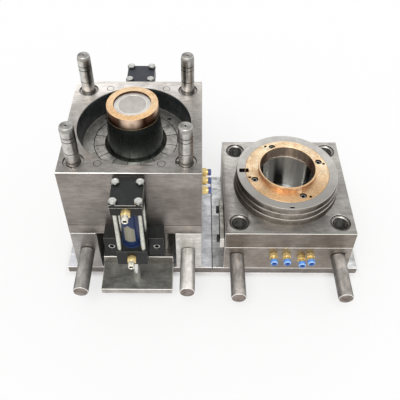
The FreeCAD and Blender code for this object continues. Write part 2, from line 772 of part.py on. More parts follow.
def ejector():
    pins = at_corners("return_pin_x", "return_pin_y")
    screws = at_corners("ejector_screw_x", "ejector_screw_y")
    rods = [("0", f"{side} * {CYLINDER_Y}") for side in (-1, 1)]
    base = plate("ejector_base_body", "ejector_width",
                 f"2 * ({CYLINDER_Y} + ejector_base_margin)", "ejector_base_thickness")
    holes(base, "rod_thread_ways", "rod_thread_radius", rods,
          "ejector_base_thickness", "ejector_base_thickness")
    holes(base, "ejector_screw_ways", "ejector_screw_radius", screws,
          "ejector_base_thickness", "ejector_base_thickness")
    holes(base, "ejector_head_ways", "1.5 * ejector_screw_radius + slide_gap", screws,
          "2 * ejector_screw_radius + 1", "2 * ejector_screw_radius + 1")
    part("ejector_base_plate", place(base, z=EJECTOR_FOOT))

    retainer = plate("retainer_body", "ejector_width", "plate_side", "retainer_thickness")
    holes(retainer, "retainer_pin_ways", "return_pin_radius + running_gap", pins,
          "retainer_thickness", "retainer_thickness")
    holes(retainer, "retainer_pin_seats", "return_head_radius + slide_gap", pins,
          "return_head_height", "return_head_height")
    holes(retainer, "retainer_screw_ends", "ejector_screw_radius", screws,
          "ejector_screw_grip", "ejector_screw_grip")
    place(retainer, z=RETAINER_FOOT)
    spread = "(eject_stroke * tan(lift_angle))"
    lean = "(retainer_thickness * tan(lift_angle))"
    foot_slot = slot("foot_slot", "lifter_foot_radius + slide_gap", LIFTER_FOOT_RADIUS, spread,
                     RETAINER_FOOT, "lifter_foot_height + 2 * slide_gap")
    shank_slot = slot("shank_slot", "lifter_radius + 2 * slide_gap", LIFTER_FOOT_RADIUS,
                      f"{spread} + {lean}", RETAINER_FOOT, "retainer_thickness")
    way = fuse("lifter_slot", foot_slot + shank_slot)
    ways = [copies(f"lifter_slot_{index}", way, [("0", "0", "0", turn)])
            for index, turn in enumerate(segment_turns(), 1)]
    part("ejector_retainer_plate", cut("retainer_cut", retainer, ways))

    screw = socket_screw("ejector_screw", "ejector_screw_radius",
                         "ejector_base_thickness - 2 * ejector_screw_radius - 1 + ejector_screw_grip")
    part("ejector_plate_screws", copies("ejector_screw_set", screw,
         [(x, y, f"{EJECTOR_FOOT} + 2 * ejector_screw_radius + 1", DOWN) for x, y in screws]))

    pin = turned("return_pin", [
        ("0", "0"), ("return_head_radius", "0"), ("return_head_radius", "return_head_height"),
        ("return_pin_radius", "return_head_height"),
        ("return_pin_radius", f"{CORE_FACE} - {RETAINER_FOOT}"),
        ("0", f"{CORE_FACE} - {RETAINER_FOOT}"),
    ])
    part("return_pins", copies("return_pin_set", pin, [(x, y, RETAINER_FOOT, UP) for x, y in pins]))

    stop = cylinder("stop_button", "stop_radius", "stop_height")
    part("stop_buttons", copies("stop_set", stop,
         [(x, y, "clamp_thickness", UP) for x, y in at_corners("stop_x", "stop_y")]))


def slot(name, radius, start, run, level, height):
    """The solids of a round-ended slot along +X."""
    ends = [cylinder(name + "_end", radius, height, place_x, "0", level)
            for place_x in (start, f"{start} + {run}")]
    return ends + [box(name + "_run", run, f"2 * ({radius})", height,
                       f"{start} + ({run}) / 2", "0", level)]


# Ejector cylinders with their brackets and saddles

def cylinders():
    cap_ties = at_corners("tie_offset", "tie_offset")
    head = plate("head_cap_body", "cap_side", "cap_side", "head_cap_height")
    holes(head, "head_tie_ways", "tie_radius", cap_ties, "head_cap_height", "head_cap_height")
    base = plate("base_cap_body", "cap_side", "cap_side", "base_cap_height")
    holes(base, "rod_way", "rod_radius + running_gap", [("0", "0")],
          "base_cap_height", "base_cap_height")
    holes(base, "base_tie_ends", "tie_radius", cap_ties, "base_cap_height", "tie_grip")
    seat = cut("barrel_seat", cylinder("barrel_seat_disc", "barrel_seat_radius",
                                       "barrel_seat_height + 1", z="base_cap_height - 1"),
               [cylinder("barrel_seat_way", "barrel_radius + slide_gap", "barrel_seat_height + 1",
                         z="base_cap_height - 1")])
    base = fuse("base_cap_form", [base, seat])
    tube = turned("barrel_turning", [("barrel_bore", "0"), ("barrel_radius", "0"),
                                     ("barrel_radius", "barrel_length"), ("barrel_bore", "barrel_length")])
    thread = f"({RETAINER_FOOT} - {EJECTOR_FOOT} + rod_nut_height + rod_thread_spare)"
    piston = f"({thread} + {BARREL_FOOT} - {RETAINER_FOOT} + piston_lift)"
    rod = turned("piston_rod", [
        ("0", "0"), ("rod_thread_radius", "0"), ("rod_thread_radius", thread),
        ("rod_radius", thread), ("rod_radius", piston), ("barrel_bore - slide_gap", piston),
        ("barrel_bore - slide_gap", f"{piston} + piston_height"), ("0", f"{piston} + piston_height"),
    ])
    bracket = cylinder_bracket()
    saddle = cylinder_saddle()
    for end, side, turn in (("front", "-", UP), ("rear", "", FreeCAD.Rotation(180, 0, 0))):
        axis = f"{side}{CYLINDER_Y}"
        for name, master, level in (
                ("head_cap", head, HEAD_CAP_FOOT), ("base_cap", base, "base_cap_foot"),
                ("barrel", tube, BARREL_FOOT),
                ("piston_rod", rod, f"{EJECTOR_FOOT} - rod_nut_height - rod_thread_spare")):
            part(f"{end}_{name}", copies(f"{end}_{name}_place", master, [("0", axis, level, turn)]))
        for name, master, level in (("bracket", bracket, BRACKET_FOOT), ("saddle", saddle, "saddle_foot")):
            part(f"{end}_{name}", copies(f"{end}_{name}_place", master,
                                         [("0", f"{side}plate_side / 2", level, turn)]))


def cylinder_bracket():
    """An angle bracket on the plate's face: its leg hangs down, its shelf points to -Y."""
    body = doc.addObject("PartDesign::Body", "bracket_body")
    profile = sketch_on(body, "YZ_Plane", "bracket_profile")
    low = "(bracket_plate - bracket_leg_length)"
    outline(profile, [
        ("0", "bracket_plate"), ("-bracket_reach", "bracket_plate"), ("-bracket_reach", "0"),
        ("-bracket_leg", "0"), ("-bracket_leg", low), ("0", low),
    ])
    pad = body.newObject("PartDesign::Pad", "bracket_pad")
    pad.Profile = profile
    pad.Midplane = True
    bind(pad, Length="bracket_width")
    axis = "(-cylinder_offset)"
    tools = [cylinder("bracket_tie_way", "tie_radius", "bracket_plate", x, f"{axis} + {y}")
             for x, y in at_corners("tie_offset", "tie_offset")]
    for end in (-1, 1):
        level = "bracket_plate - bracket_screw_drop"
        tools.append(cylinder("bracket_leg_way", "bracket_screw_radius", "bracket_leg",
                              f"{end} * bracket_screw_x", "0", level, FORWARD))
        tools.append(cylinder("bracket_head_way", "1.5 * bracket_screw_radius + slide_gap",
                              "2 * bracket_screw_radius", f"{end} * bracket_screw_x",
                              "-bracket_leg", level, BACKWARD))
    return cut("bracket_master", body, tools)


def cylinder_saddle():
    """A U block on the face of the support plate that holds the base cap between its ears."""
    block = box("saddle_block", "saddle_width", "saddle_reach", "saddle_height",
                "0", "-saddle_reach / 2")
    back = "(cylinder_offset - cap_side / 2 - slide_gap)"
    notch = box("saddle_notch", "cap_side + 2 * slide_gap", "saddle_reach", "saddle_height",
                "0", f"-{back} - saddle_reach / 2")
    tools = [notch]
    for end in (-1, 1):
        tools.append(cylinder("saddle_way", "saddle_screw_radius", "saddle_reach",
                              f"{end} * saddle_screw_x", "0", "saddle_screw_rise", FORWARD))
        tools.append(cylinder("saddle_head_way", "1.5 * saddle_screw_radius + slide_gap",
                              "2 * saddle_screw_radius + 2", f"{end} * saddle_screw_x",
                              "-saddle_reach", "saddle_screw_rise", BACKWARD))
    return cut("saddle_master", block, tools)


def cylinder_fasteners():
    tie = hex_bolt("tie_bolt", "tie_radius",
                   f"{BRACKET_FOOT} + bracket_plate - {BARREL_FOOT} + tie_grip",
                   "tie_head_flats", "tie_head_height")
    ties = [(x, f"{side} * {CYLINDER_Y} + {y}", f"{BRACKET_FOOT} + bracket_plate", UP)
            for side in (-1, 1) for x, y in at_corners("tie_offset", "tie_offset")]
    part("tie_bolts", copies("tie_bolt_set", tie, ties))

    small = socket_screw("bracket_screw", "bracket_screw_radius",
                         "bracket_leg - 2 * bracket_screw_radius + bracket_screw_length")
    large = socket_screw("saddle_screw", "saddle_screw_radius", "saddle_screw_length")
    screws = []
    for side, turn in ((-1, BACKWARD), (1, FORWARD)):
        for end in (-1, 1):
            seat = f"{side} * (plate_side / 2 + bracket_leg - 2 * bracket_screw_radius)"
            screws.append((small, f"{end} * bracket_screw_x", seat,
                           f"{BRACKET_FOOT} + bracket_plate - bracket_screw_drop", turn))
            seat = f"{side} * (plate_side / 2 + saddle_reach - 2 * saddle_screw_radius - 2)"
            screws.append((large, f"{end} * saddle_screw_x", seat,
                           "saddle_foot + saddle_screw_rise", turn))
    group = doc.addObject("Part::Compound", "cylinder_screw_set")
    group.Links = [copies("cylinder_screw", master, [(x, y, z, turn * DOWN)])
                   for master, x, y, z, turn in screws]
    part("cylinder_screws", group)

    nut = cut("rod_nut", hexagon("rod_nut_blank", "rod_nut_flats", "rod_nut_height"),
              [cylinder("rod_nut_bore", "rod_thread_radius", "rod_nut_height")])
    part("rod_nuts", copies("rod_nut_set", nut,
         [("0", f"{side} * {CYLINDER_Y}", f"{EJECTOR_FOOT} - rod_nut_height", UP) for side in (-1, 1)]))

    blank = fuse("port_blank", [
        hexagon("port_hex", "port_flats", "port_hex_length"),
        cylinder("port_end", "port_end_radius", "port_end_length", z="port_hex_length")])
    port = cut("cylinder_port", blank,
               [cylinder("port_bore_way", "port_bore", "port_hex_length + port_end_length - 6", z="6")])
    ports = [("0", f"{side} * ({CYLINDER_Y} + cap_side / 2)", level, turn)
             for side, turn in ((-1, FORWARD), (1, BACKWARD))
             for level in (f"{BRACKET_FOOT} - port_inset",
                           f"base_cap_foot + base_cap_height / 2 + port_inset / 2")]
    part("cylinder_ports", copies("port_set", port, ports))


# Bars and fittings that both halves use

def support_bar(name, length):
    """A round bar pointing up, its stud below its origin."""
    return turned(name, [
        ("0", "0"), ("bar_stud_radius", "0"), ("bar_stud_radius", "bar_stud_length"),
        ("bar_radius", "bar_stud_length"),
        ("bar_radius", f"bar_stud_length + {length} - bar_chamfer"),
        ("bar_radius - bar_chamfer", f"bar_stud_length + {length}"),
        ("0", f"bar_stud_length + {length}"),
    ])


def bars_and_fittings():
    seat = "bar_stud_length - plate_side / 2"
    core_bar = support_bar("core_bar", "core_bar_length")
    part("core_support_bars", copies("core_bar_set", core_bar,
         [(f"{side} * core_bar_x", seat, "core_bar_height", FORWARD) for side in (-1, 1)]))
    cavity_bar = support_bar("cavity_bar", "cavity_bar_length")
    part("cavity_support_bars", copies("cavity_bar_set", cavity_bar,
         [(f"{CAVITY_X} + {side} * cavity_bar_x", seat, "cavity_bar_height", FORWARD)
          for side in (-1, 1)]))

    thread = cylinder("fitting_thread", "fitting_thread_radius", "fitting_thread_length", turn=DOWN)
    nut = hexagon("fitting_hex", "fitting_flats", "fitting_hex_length")
    neck = cylinder("fitting_neck", "fitting_neck_radius", "fitting_neck_length", z="fitting_hex_length")
    collet = cylinder("fitting_collet", "collet_radius", "collet_length",
                      z="fitting_hex_length + fitting_neck_length")
    bore = cylinder("fitting_bore", "channel_radius",
                    "fitting_thread_length + fitting_hex_length + fitting_neck_length + collet_length",
                    z="-fitting_thread_length")
    fitting = cut("fitting", fuse("fitting_blank", [thread, nut, neck, collet]), [bore])
    part("core_fittings", copies("core_fitting_set", fitting,
         [("plate_side / 2", y, f"{CORE_FOOT} + core_fitting_height", RIGHT)
          for y in core_fitting_places()]))
    part("cavity_fittings", copies("cavity_fitting_set", fitting,
         [(x, "-plate_side / 2", z, FORWARD) for x, z in cavity_fitting_places()]))


def cavity_fitting_places():
    """Four fittings in a row along the front face, the third one lower."""
    level = "clamp_thickness + cavity_fitting_height"
    return [(f"{CAVITY_X} - cavity_fitting_first", level),
            (f"{CAVITY_X} - cavity_fitting_second", level),
            (f"{CAVITY_X} + cavity_fitting_third", f"{level} - cavity_fitting_drop"),
            (f"{CAVITY_X} + cavity_fitting_fourth", level)]


# Cavity half

def cavity_base():
    centres = at_corners("cavity_screw_x", "cavity_screw_y")
    clamp = plate("cavity_clamp_body", "clamp_length", "plate_side", "clamp_thickness")
    holes(clamp, "cavity_clamp_ways", "base_screw_radius", centres,
          "clamp_thickness", "clamp_thickness")
    holes(clamp, "cavity_head_ways", "1.5 * base_screw_radius + slide_gap", centres,
          "2 * base_screw_radius + 1", "2 * base_screw_radius + 1")
    holes(clamp, "locating_bore", "locating_radius", [("0", "0")],
          "locating_depth", "locating_depth")
    holes(clamp, "sprue_flange_seat", "sprue_flange_radius", [("0", "0")],
          "clamp_thickness", "sprue_flange_height")
    part("cavity_clamp_plate", place(clamp, CAVITY_X))

    back = plate("cavity_back_body", "plate_side", "plate_side", "cavity_back_thickness")
    top = "cavity_back_thickness"
    holes(back, "back_screw_ways", "base_screw_radius", centres, top, top)
    holes(back, "back_pillar_ways", "pillar_radius + 1.5",
          at_corners("pillar_offset", "pillar_offset"),
          top, "pillar_reach - cavity_plate_thickness + 4")
    seat = f"({CAVITY_BOTTOM} - gate_insert_height - clamp_thickness)"
    holes(back, "gate_insert_seat", "sleeve_radius", [("0", "0")], top, f"{top} - {seat}")
    holes(back, "sprue_way", "sprue_radius", [("0", "0")], seat, seat)
    place(back, CAVITY_X, "0", "clamp_thickness")
    tools = []
    for x, z in cavity_fitting_places():
        for name, radius, depth in (("cavity_channel", "channel_radius", "channel_depth"),
                                    ("cavity_port", "fitting_thread_radius", "fitting_thread_length")):
            tools.append(cylinder(name, radius, depth, x, "-plate_side / 2", z, BACKWARD))
    for side in (-1, 1):
        tools.append(cylinder("cavity_bar_socket", "bar_stud_radius", "bar_stud_length",
                              f"{CAVITY_X} + {side} * cavity_bar_x", "-plate_side / 2",
                              "cavity_bar_height", BACKWARD))
    tools.append(cylinder("cavity_lifting_hole", "lifting_hole_radius", "lifting_hole_depth",
                          f"{CAVITY_X} + plate_side / 2", "0",
                          "clamp_thickness + cavity_back_thickness / 2", LEFT))
    part("cavity_back_plate", cut("cavity_back_cut", back, tools))

    screw = socket_screw("cavity_clamp_screw", "base_screw_radius",
                         f"{CAVITY_FOOT} + base_screw_grip - 2 * base_screw_radius - 1")
    part("cavity_clamp_screws", copies("cavity_screw_set", screw,
         [(f"{CAVITY_X} + {x}", y, "2 * base_screw_radius + 1", DOWN) for x, y in centres]))


def cavity_plate():
    body = plate("cavity_plate_body", "plate_side", "plate_side", "cavity_plate_thickness")
    boss = sketch_on(body, "XZ_Plane", "boss_profile")
    foot = "cavity_plate_thickness"
    top = "(cavity_plate_thickness + lock_height)"
    corners = [("0", foot), ("lock_root_radius", foot)]
    for share in (0.33, 0.66):
        level = f"({foot} + {share} * lock_height)"
        side = f"(lock_root_radius - {share} * (lock_root_radius - lock_top_radius))"
        corners += [(side, level), (f"{side} - lock_ledge", level)]
    corners += [("lock_top_radius", top), ("0", top)]
    outline(boss, corners)
    turning = body.newObject("PartDesign::Revolution", "boss_turning")
    turning.Profile = boss
    turning.ReferenceAxis = (boss, ["V_Axis"])
    turning.Angle = 360
    bushes = at_corners("pillar_offset", "pillar_offset")
    holes(body, "bush_ways", "bush_radius", bushes, foot, foot)
    holes(body, "bush_flange_seats", "bush_flange_radius", bushes,
          "bush_flange_height", "bush_flange_height")
    holes(body, "bush_reliefs", "bush_relief_radius", bushes, foot, "bush_relief_depth")
    holes(body, "cavity_screw_ends", "base_screw_radius",
          at_corners("cavity_screw_x", "cavity_screw_y"), "base_screw_grip", "base_screw_grip")
    holes(body, "rim_ring_seat", RIM_RING_RADIUS, [("0", "0")], top, "rim_ring_height")
    holes(body, "sleeve_way", "sleeve_radius", [("0", "0")], top, top)
    holes(body, "rim_screw_ends", "rim_screw_radius", rim_screw_centres(),
          f"{top} - rim_ring_height", "rim_screw_length")
    place(body, CAVITY_X, "0", CAVITY_FOOT)
    front = "(boss_mark_inset - lock_top_radius)"
    shift = "(boss_mark_length - boss_mark_width) / 2"
    tools = [key_slot("plate_key_slot"), box("boss_mark_run", f"2 * {shift}", "boss_mark_width",
                                             "boss_mark_depth", CAVITY_X, front,
                                             f"{LOCK_FACE} - boss_mark_depth")]
    for end in ("-", "+"):
        tools.append(cylinder("boss_mark_end", "boss_mark_width / 2", "boss_mark_depth",
                              f"{CAVITY_X} {end} {shift}", front, f"{LOCK_FACE} - boss_mark_depth"))
    for shift in ("0", "strap_pitch"):
        tools.append(cylinder("strap_bolt_end", "strap_bolt_radius", "strap_bolt_grip",
                              f"{CAVITY_X} - plate_side / 2",
                              f"strap_front_inset + {shift} - plate_side / 2", "strap_level", RIGHT))
    part("cavity_plate", cut("cavity_plate_cut", body, tools))


def rim_screw_centres():
    return on_circle(RIM_SCREW_CIRCLE, [f"rim_screw_angle + {90 * index}" for index in range(4)])


def key_slot(name):
    """The slot across the joint between the copper ring and the boss, towards -X."""
    run = "(key_slot_end - key_slot_start)"
    return box(name, run, "key_slot_width", "key_slot_depth",
               f"{CAVITY_X} - (key_slot_start + key_slot_end) / 2", "0",
               f"{LOCK_FACE} - key_slot_depth")


def cavity_inserts():
    collar = "(rim_outer_radius - collar_gap)"
    ring = turned("rim_ring_turning", [
        (SLEEVE_TOP_RADIUS, "0"), (RIM_RING_RADIUS, "0"),
        (RIM_RING_RADIUS, "rim_ring_height"), (collar, "rim_ring_height"),
        (collar, COLLAR_TOP), (CAVITY_TOP_RADIUS, COLLAR_TOP), (CAVITY_TOP_RADIUS, "rim_ring_height"),
    ])
    top = "rim_ring_height"
    holes(ring, "rim_screw_ways", "rim_screw_radius", rim_screw_centres(), top, top)
    holes(ring, "rim_head_ways", "rim_head_way", rim_screw_centres(),
          top, "rim_head_depth")
    holes(ring, "jack_holes", "jack_hole_radius",
          on_circle(JACK_CIRCLE, [f"{name}_angle + {half}" for half in (0, 180)
                                         for name in ("jack_side", "jack_front")]),
          top, "jack_hole_depth")
    place(ring, CAVITY_X, "0", f"{LOCK_FACE} - rim_ring_height")
    part("rim_ring", cut("rim_ring_cut", ring, [key_slot("ring_key_slot")]))

    screw = socket_screw("rim_ring_screw", "rim_screw_radius",
                         "rim_ring_height - rim_head_depth + rim_screw_length")
    part("rim_ring_screws", copies("rim_screw_set", screw,
         [(f"{CAVITY_X} + {x}", y, f"{LOCK_FACE} - rim_head_depth", UP)
          for x, y in rim_screw_centres()]))

    height = f"({MOULDING_DEPTH} - rim_ring_height)"
    sleeve = turned("sleeve_turning", [
        (CAVITY_BOTTOM_RADIUS, "0"), ("sleeve_radius", "0"),
        ("sleeve_radius", height), (SLEEVE_TOP_RADIUS, height),
    ])
    part("cavity_sleeve", place(sleeve, CAVITY_X, "0", CAVITY_BOTTOM))

    nest = "(gate_insert_height - gate_land)"
    gate = turned("gate_turning", [
        ("sprue_radius", "0"), ("sleeve_radius", "0"), ("sleeve_radius", "gate_insert_height"),
        ("gate_radius", "gate_insert_height"), ("gate_radius", nest), ("sprue_radius", nest),
    ])
    part("gate_insert", place(gate, CAVITY_X, "0", f"{CAVITY_BOTTOM} - gate_insert_height"))

    tip = f"({CAVITY_BOTTOM} - gate_land - locating_depth)"
    sprue = turned("sprue_turning", [
        ("runner_large_radius", "0"), ("sprue_flange_radius", "0"),
        ("sprue_flange_radius", "sprue_flange_height"), ("sprue_radius", "sprue_flange_height"),
        ("sprue_radius", tip), ("runner_small_radius", tip),
    ])
    part("sprue_bush", place(sprue, CAVITY_X, "0", "locating_depth"))

    mouth = "(cavity_plate_thickness - bush_relief_depth)"
    bush = turned("guide_bush", [
        ("pillar_radius + running_gap", "0"), ("bush_flange_radius", "0"),
        ("bush_flange_radius", "bush_flange_height"), ("bush_radius", "bush_flange_height"),
        ("bush_radius", mouth), ("pillar_radius + running_gap + 2", mouth),
        ("pillar_radius + running_gap", f"{mouth} - 2"),
    ])
    part("guide_bushes", copies("guide_bush_set", bush,
         [(f"{CAVITY_X} + {x}", y, CAVITY_FOOT, UP)
          for x, y in at_corners("pillar_offset", "pillar_offset")]))


def lock_strap():
    face = f"({CAVITY_X} - plate_side / 2)"
    front = "(strap_front_inset - plate_side / 2)"
    pivot = f"({front} + strap_pitch)"
    outer = f"({face} - strap_gap - strap_thickness)"
    bar = box("strap_bar", "strap_thickness", "strap_length", "strap_width",
              f"{outer} + strap_thickness / 2", f"{pivot} + strap_margin - strap_length / 2",
              "strap_level - strap_width / 2")
    hole = cylinder("strap_hole", "strap_bolt_radius + running_gap", "strap_thickness",
                    outer, pivot, "strap_level", RIGHT)
    seat = cylinder("strap_notch_seat", "strap_bolt_radius + slide_gap", "strap_thickness",
                    outer, front, "strap_level", RIGHT)
    notch = box("strap_notch", "strap_thickness", "2 * (strap_bolt_radius + slide_gap)", "strap_width / 2",
                f"{outer} + strap_thickness / 2", front, "strap_level - strap_width / 2")
    part("lock_strap", cut("strap_cut", bar, [hole, seat, notch]))

    bolt = hex_bolt("strap_bolt", "strap_bolt_radius",
                    "strap_thickness + strap_gap + slide_gap + strap_bolt_grip",
                    "strap_bolt_flats", "strap_bolt_head")
    part("strap_bolts", copies("strap_bolt_set", bolt,
         [(f"{outer} - slide_gap", y, "strap_level", LEFT) for y in (front, pivot)]))


def faults():
    """Objects that failed to build, and pieces without a sound shape."""
    failed = [item.Label for item in doc.Objects if {"Invalid", "Error"} & set(item.State)]
    unsound = [item.Label for item in PARTS if item.Shape.isNull() or not item.Shape.isValid()]
    return failed + unsound


core_base()
core_plate()
guide_pillars()
core()
air_valve()
rim_segments()
wear_ring()
ejector()
cylinders()
cylinder_fasteners()
bars_and_fittings()
cavity_base()
cavity_plate()
cavity_inserts()
lock_strap()
doc.recompute()

if faults():
    raise RuntimeError("not built: " + ", ".join(faults()))
os.makedirs("parts", exist_ok=True)
for piece in PARTS:
    piece.Shape.exportStep(f"parts/{piece.Label}.step")
    print(piece.Label, len(piece.Shape.Solids), round(piece.Shape.Volume))
print(len(PARTS), "nodes")
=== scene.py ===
import json
import math

import bmesh
import bpy
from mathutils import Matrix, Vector

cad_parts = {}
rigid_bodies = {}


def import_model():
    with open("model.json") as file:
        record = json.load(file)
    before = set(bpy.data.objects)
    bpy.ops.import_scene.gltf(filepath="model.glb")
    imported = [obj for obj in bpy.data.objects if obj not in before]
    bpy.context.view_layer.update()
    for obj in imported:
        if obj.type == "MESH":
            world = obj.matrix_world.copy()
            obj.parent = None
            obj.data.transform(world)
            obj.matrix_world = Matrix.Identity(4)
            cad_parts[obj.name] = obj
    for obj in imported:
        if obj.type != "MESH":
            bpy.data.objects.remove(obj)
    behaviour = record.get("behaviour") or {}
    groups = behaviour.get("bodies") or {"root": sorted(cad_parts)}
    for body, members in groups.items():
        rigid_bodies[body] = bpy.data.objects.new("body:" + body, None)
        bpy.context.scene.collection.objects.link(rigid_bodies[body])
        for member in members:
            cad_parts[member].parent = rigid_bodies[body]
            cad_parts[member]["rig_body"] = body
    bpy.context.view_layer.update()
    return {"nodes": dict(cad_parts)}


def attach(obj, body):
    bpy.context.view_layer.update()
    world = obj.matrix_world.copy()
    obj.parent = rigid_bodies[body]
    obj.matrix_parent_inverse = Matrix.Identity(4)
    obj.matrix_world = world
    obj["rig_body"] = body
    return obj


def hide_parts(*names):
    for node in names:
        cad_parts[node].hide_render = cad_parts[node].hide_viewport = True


# Finishes and fine shapes of an open injection mould: the core half with its guide pillars and
# ejector cylinders, and the cavity half beside it. Sizes in the profiles are in millimetres.

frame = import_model()
MM = 0.001
CAVITY_X = 413.0        # the upright axis of the cavity half; the core half's is at 0
PILLAR_AT = 136         # guide pillars and bushes, from the axis of their half, both ways
PIN_AT = (77, 143)      # return pins, from the axis
CYLINDER_Y = 225        # ejector cylinders, before and behind the axis
CORE_TOP = 418          # heights of the faces that meet when the mould closes, and of the boss
CAVITY_TOP = 184
BOSS_TOP = 244


# Finishes

def srgb(red, green, blue):
    """A colour as it is seen, 0 to 255, in the numbers that a shader takes."""
    seen = [value / 255 for value in (red, green, blue)]
    return tuple(v / 12.92 if v <= 0.04045 else ((v + 0.055) / 1.055) ** 2.4 for v in seen) + (1.0,)


class Finish:
    """A finish in the making: its shader, and short ways to add the nodes that feed it."""

    def __init__(self, name, metal=1.0, rough=0.4, centre=(0.0, 0.0)):
        self.material = bpy.data.materials.new(name)
        self.material.use_nodes = True
        self.tree = self.material.node_tree
        self.shader = self.tree.nodes["Principled BSDF"]
        self.set("Metallic", metal)
        self.set("Roughness", rough)
        self.place = self.add("TexCoord")["Object"]
        if centre != (0.0, 0.0):
            shift = [("Location", (-centre[0] * MM, -centre[1] * MM, 0.0))]
            self.place = self.add("Mapping", [("Vector", self.place)] + shift)[0]

    def add(self, kind, values=(), **settings):
        """A node with its inputs set or linked; gives its outputs."""
        node = self.tree.nodes.new("ShaderNode" + kind)
        for key, value in settings.items():
            setattr(node, key, value)
        for socket, value in values:
            self.feed(node.inputs[socket], value)
        return node.outputs

    def feed(self, socket, value):
        if isinstance(value, bpy.types.NodeSocket):
            self.tree.links.new(value, socket)
        else:
            socket.default_value = value

    def set(self, name, value):
        self.feed(self.shader.inputs[name], value)
        return self

    def scaled(self, x, y, z, turn=0.0):
        """The place stretched along each axis, turned by some degrees first."""
        place = self.place
        if turn:
            angles = [math.radians(turn)] * 3
            place = self.add("Mapping", [("Vector", place), ("Rotation", angles)])[0]
        return self.add("Mapping", [("Vector", place), ("Scale", (x, y, z))])[0]

    def noise(self, where, scale=1.0, detail=4.0, rough=0.55):
        return self.add("TexNoise", [("Vector", where), ("Scale", scale), ("Detail", detail),
                                     ("Roughness", rough)])[0]

    def ramp(self, value, low, high, start=0.0, end=1.0):
        """start below low and end above high, with a smooth step between."""
        return self.add("MapRange", [("Value", value), ("From Min", low), ("From Max", high),
                                     ("To Min", start), ("To Max", end)],
                        interpolation_type="SMOOTHSTEP")[0]

    def sum(self, operation, first, second=0.0, third=0.0):
        return self.add("Math", [(0, first), (1, second), (2, third)], operation=operation)[0]

    def mix(self, share, first, second):
        return self.add("Mix", [(0, share), (6, first), (7, second)], data_type="RGBA")[2]

    def shade(self, colour, amount):
        """A colour made darker or lighter by a factor."""
        factor = self.add("CombineColor", [(0, amount), (1, amount), (2, amount)])[0]
        return self.add("Mix", [(0, 1.0), (6, colour), (7, factor)],
                        data_type="RGBA", blend_type="MULTIPLY")[2]

    def axes(self):
        return self.add("SeparateXYZ", [(0, self.place)])

    def at_corners(self, half):
        """From here on each of four corners, half a pitch from the axis, has its own upright axis."""
        x, y, z = self.axes()
        x, y = (self.sum("SUBTRACT", way, self.sum("MULTIPLY", self.sum("SIGN", way), half * MM))
                for way in (x, y))
        self.place = self.along(x, y, z)

    def painted_light_along(self, colour, light_fades):
        """Painted light and shade: darker or lighter along an axis, from one place in millimetres to another.
        """
        for axis, near, far, low, high in light_fades:
            colour = self.shade(colour, self.ramp(self.axes()[axis], near * MM, far * MM, low, high))
        return colour

    def rounded(self, colour, axis, low):
        """Painted shade: darker where the surface turns away to both sides along an axis."""
        facing = self.add("SeparateXYZ", [(0, self.add("TexCoord")["Normal"])])[axis]
        return self.shade(colour, self.ramp(self.sum("ABSOLUTE", facing), 0.45, 0.95, 1.0, low))

    def radius(self):
        """The distance from the upright axis, in metres."""
        x, y, _ = self.axes()
        square = self.sum("ADD", self.sum("MULTIPLY", x, x), self.sum("MULTIPLY", y, y))
        return self.sum("SQRT", square)

    def angle(self):
        """The angle round the upright axis, in turns from -0.5 to 0.5."""
        x, y, _ = self.axes()
        return self.sum("DIVIDE", self.sum("ARCTAN2", y, x), math.tau)

    def along(self, x=0.0, y=0.0, z=0.0):
        return self.add("CombineXYZ", [(0, x), (1, y), (2, z)])[0]

    def lobes(self, count, turn):
        """Painted reflection: light and dark sectors round the axis, 0 to 1, with a light one at the turn in
        degrees.
        """
        wave = self.sum("COSINE", self.sum("MULTIPLY", self.sum("SUBTRACT", self.angle(), turn / 360),
                                           math.tau * count))
        return self.sum("MULTIPLY_ADD", wave, 0.5, 0.5)

    def scratches(self, turn, length=3.0, fine=260.0, share=0.70):
        """Thin straight marks across the surface, 0 or near 1."""
        lines = self.noise(self.scaled(length, fine, fine, turn), 1.0, 2.0, 0.5)
        return self.ramp(lines, share, share + 0.05)

    def bump(self, height, distance, strength=1.0):
        normal = self.add("Bump", [("Height", height), ("Distance", distance * MM),
                                   ("Strength", strength)])[0]
        return self.set("Normal", normal)


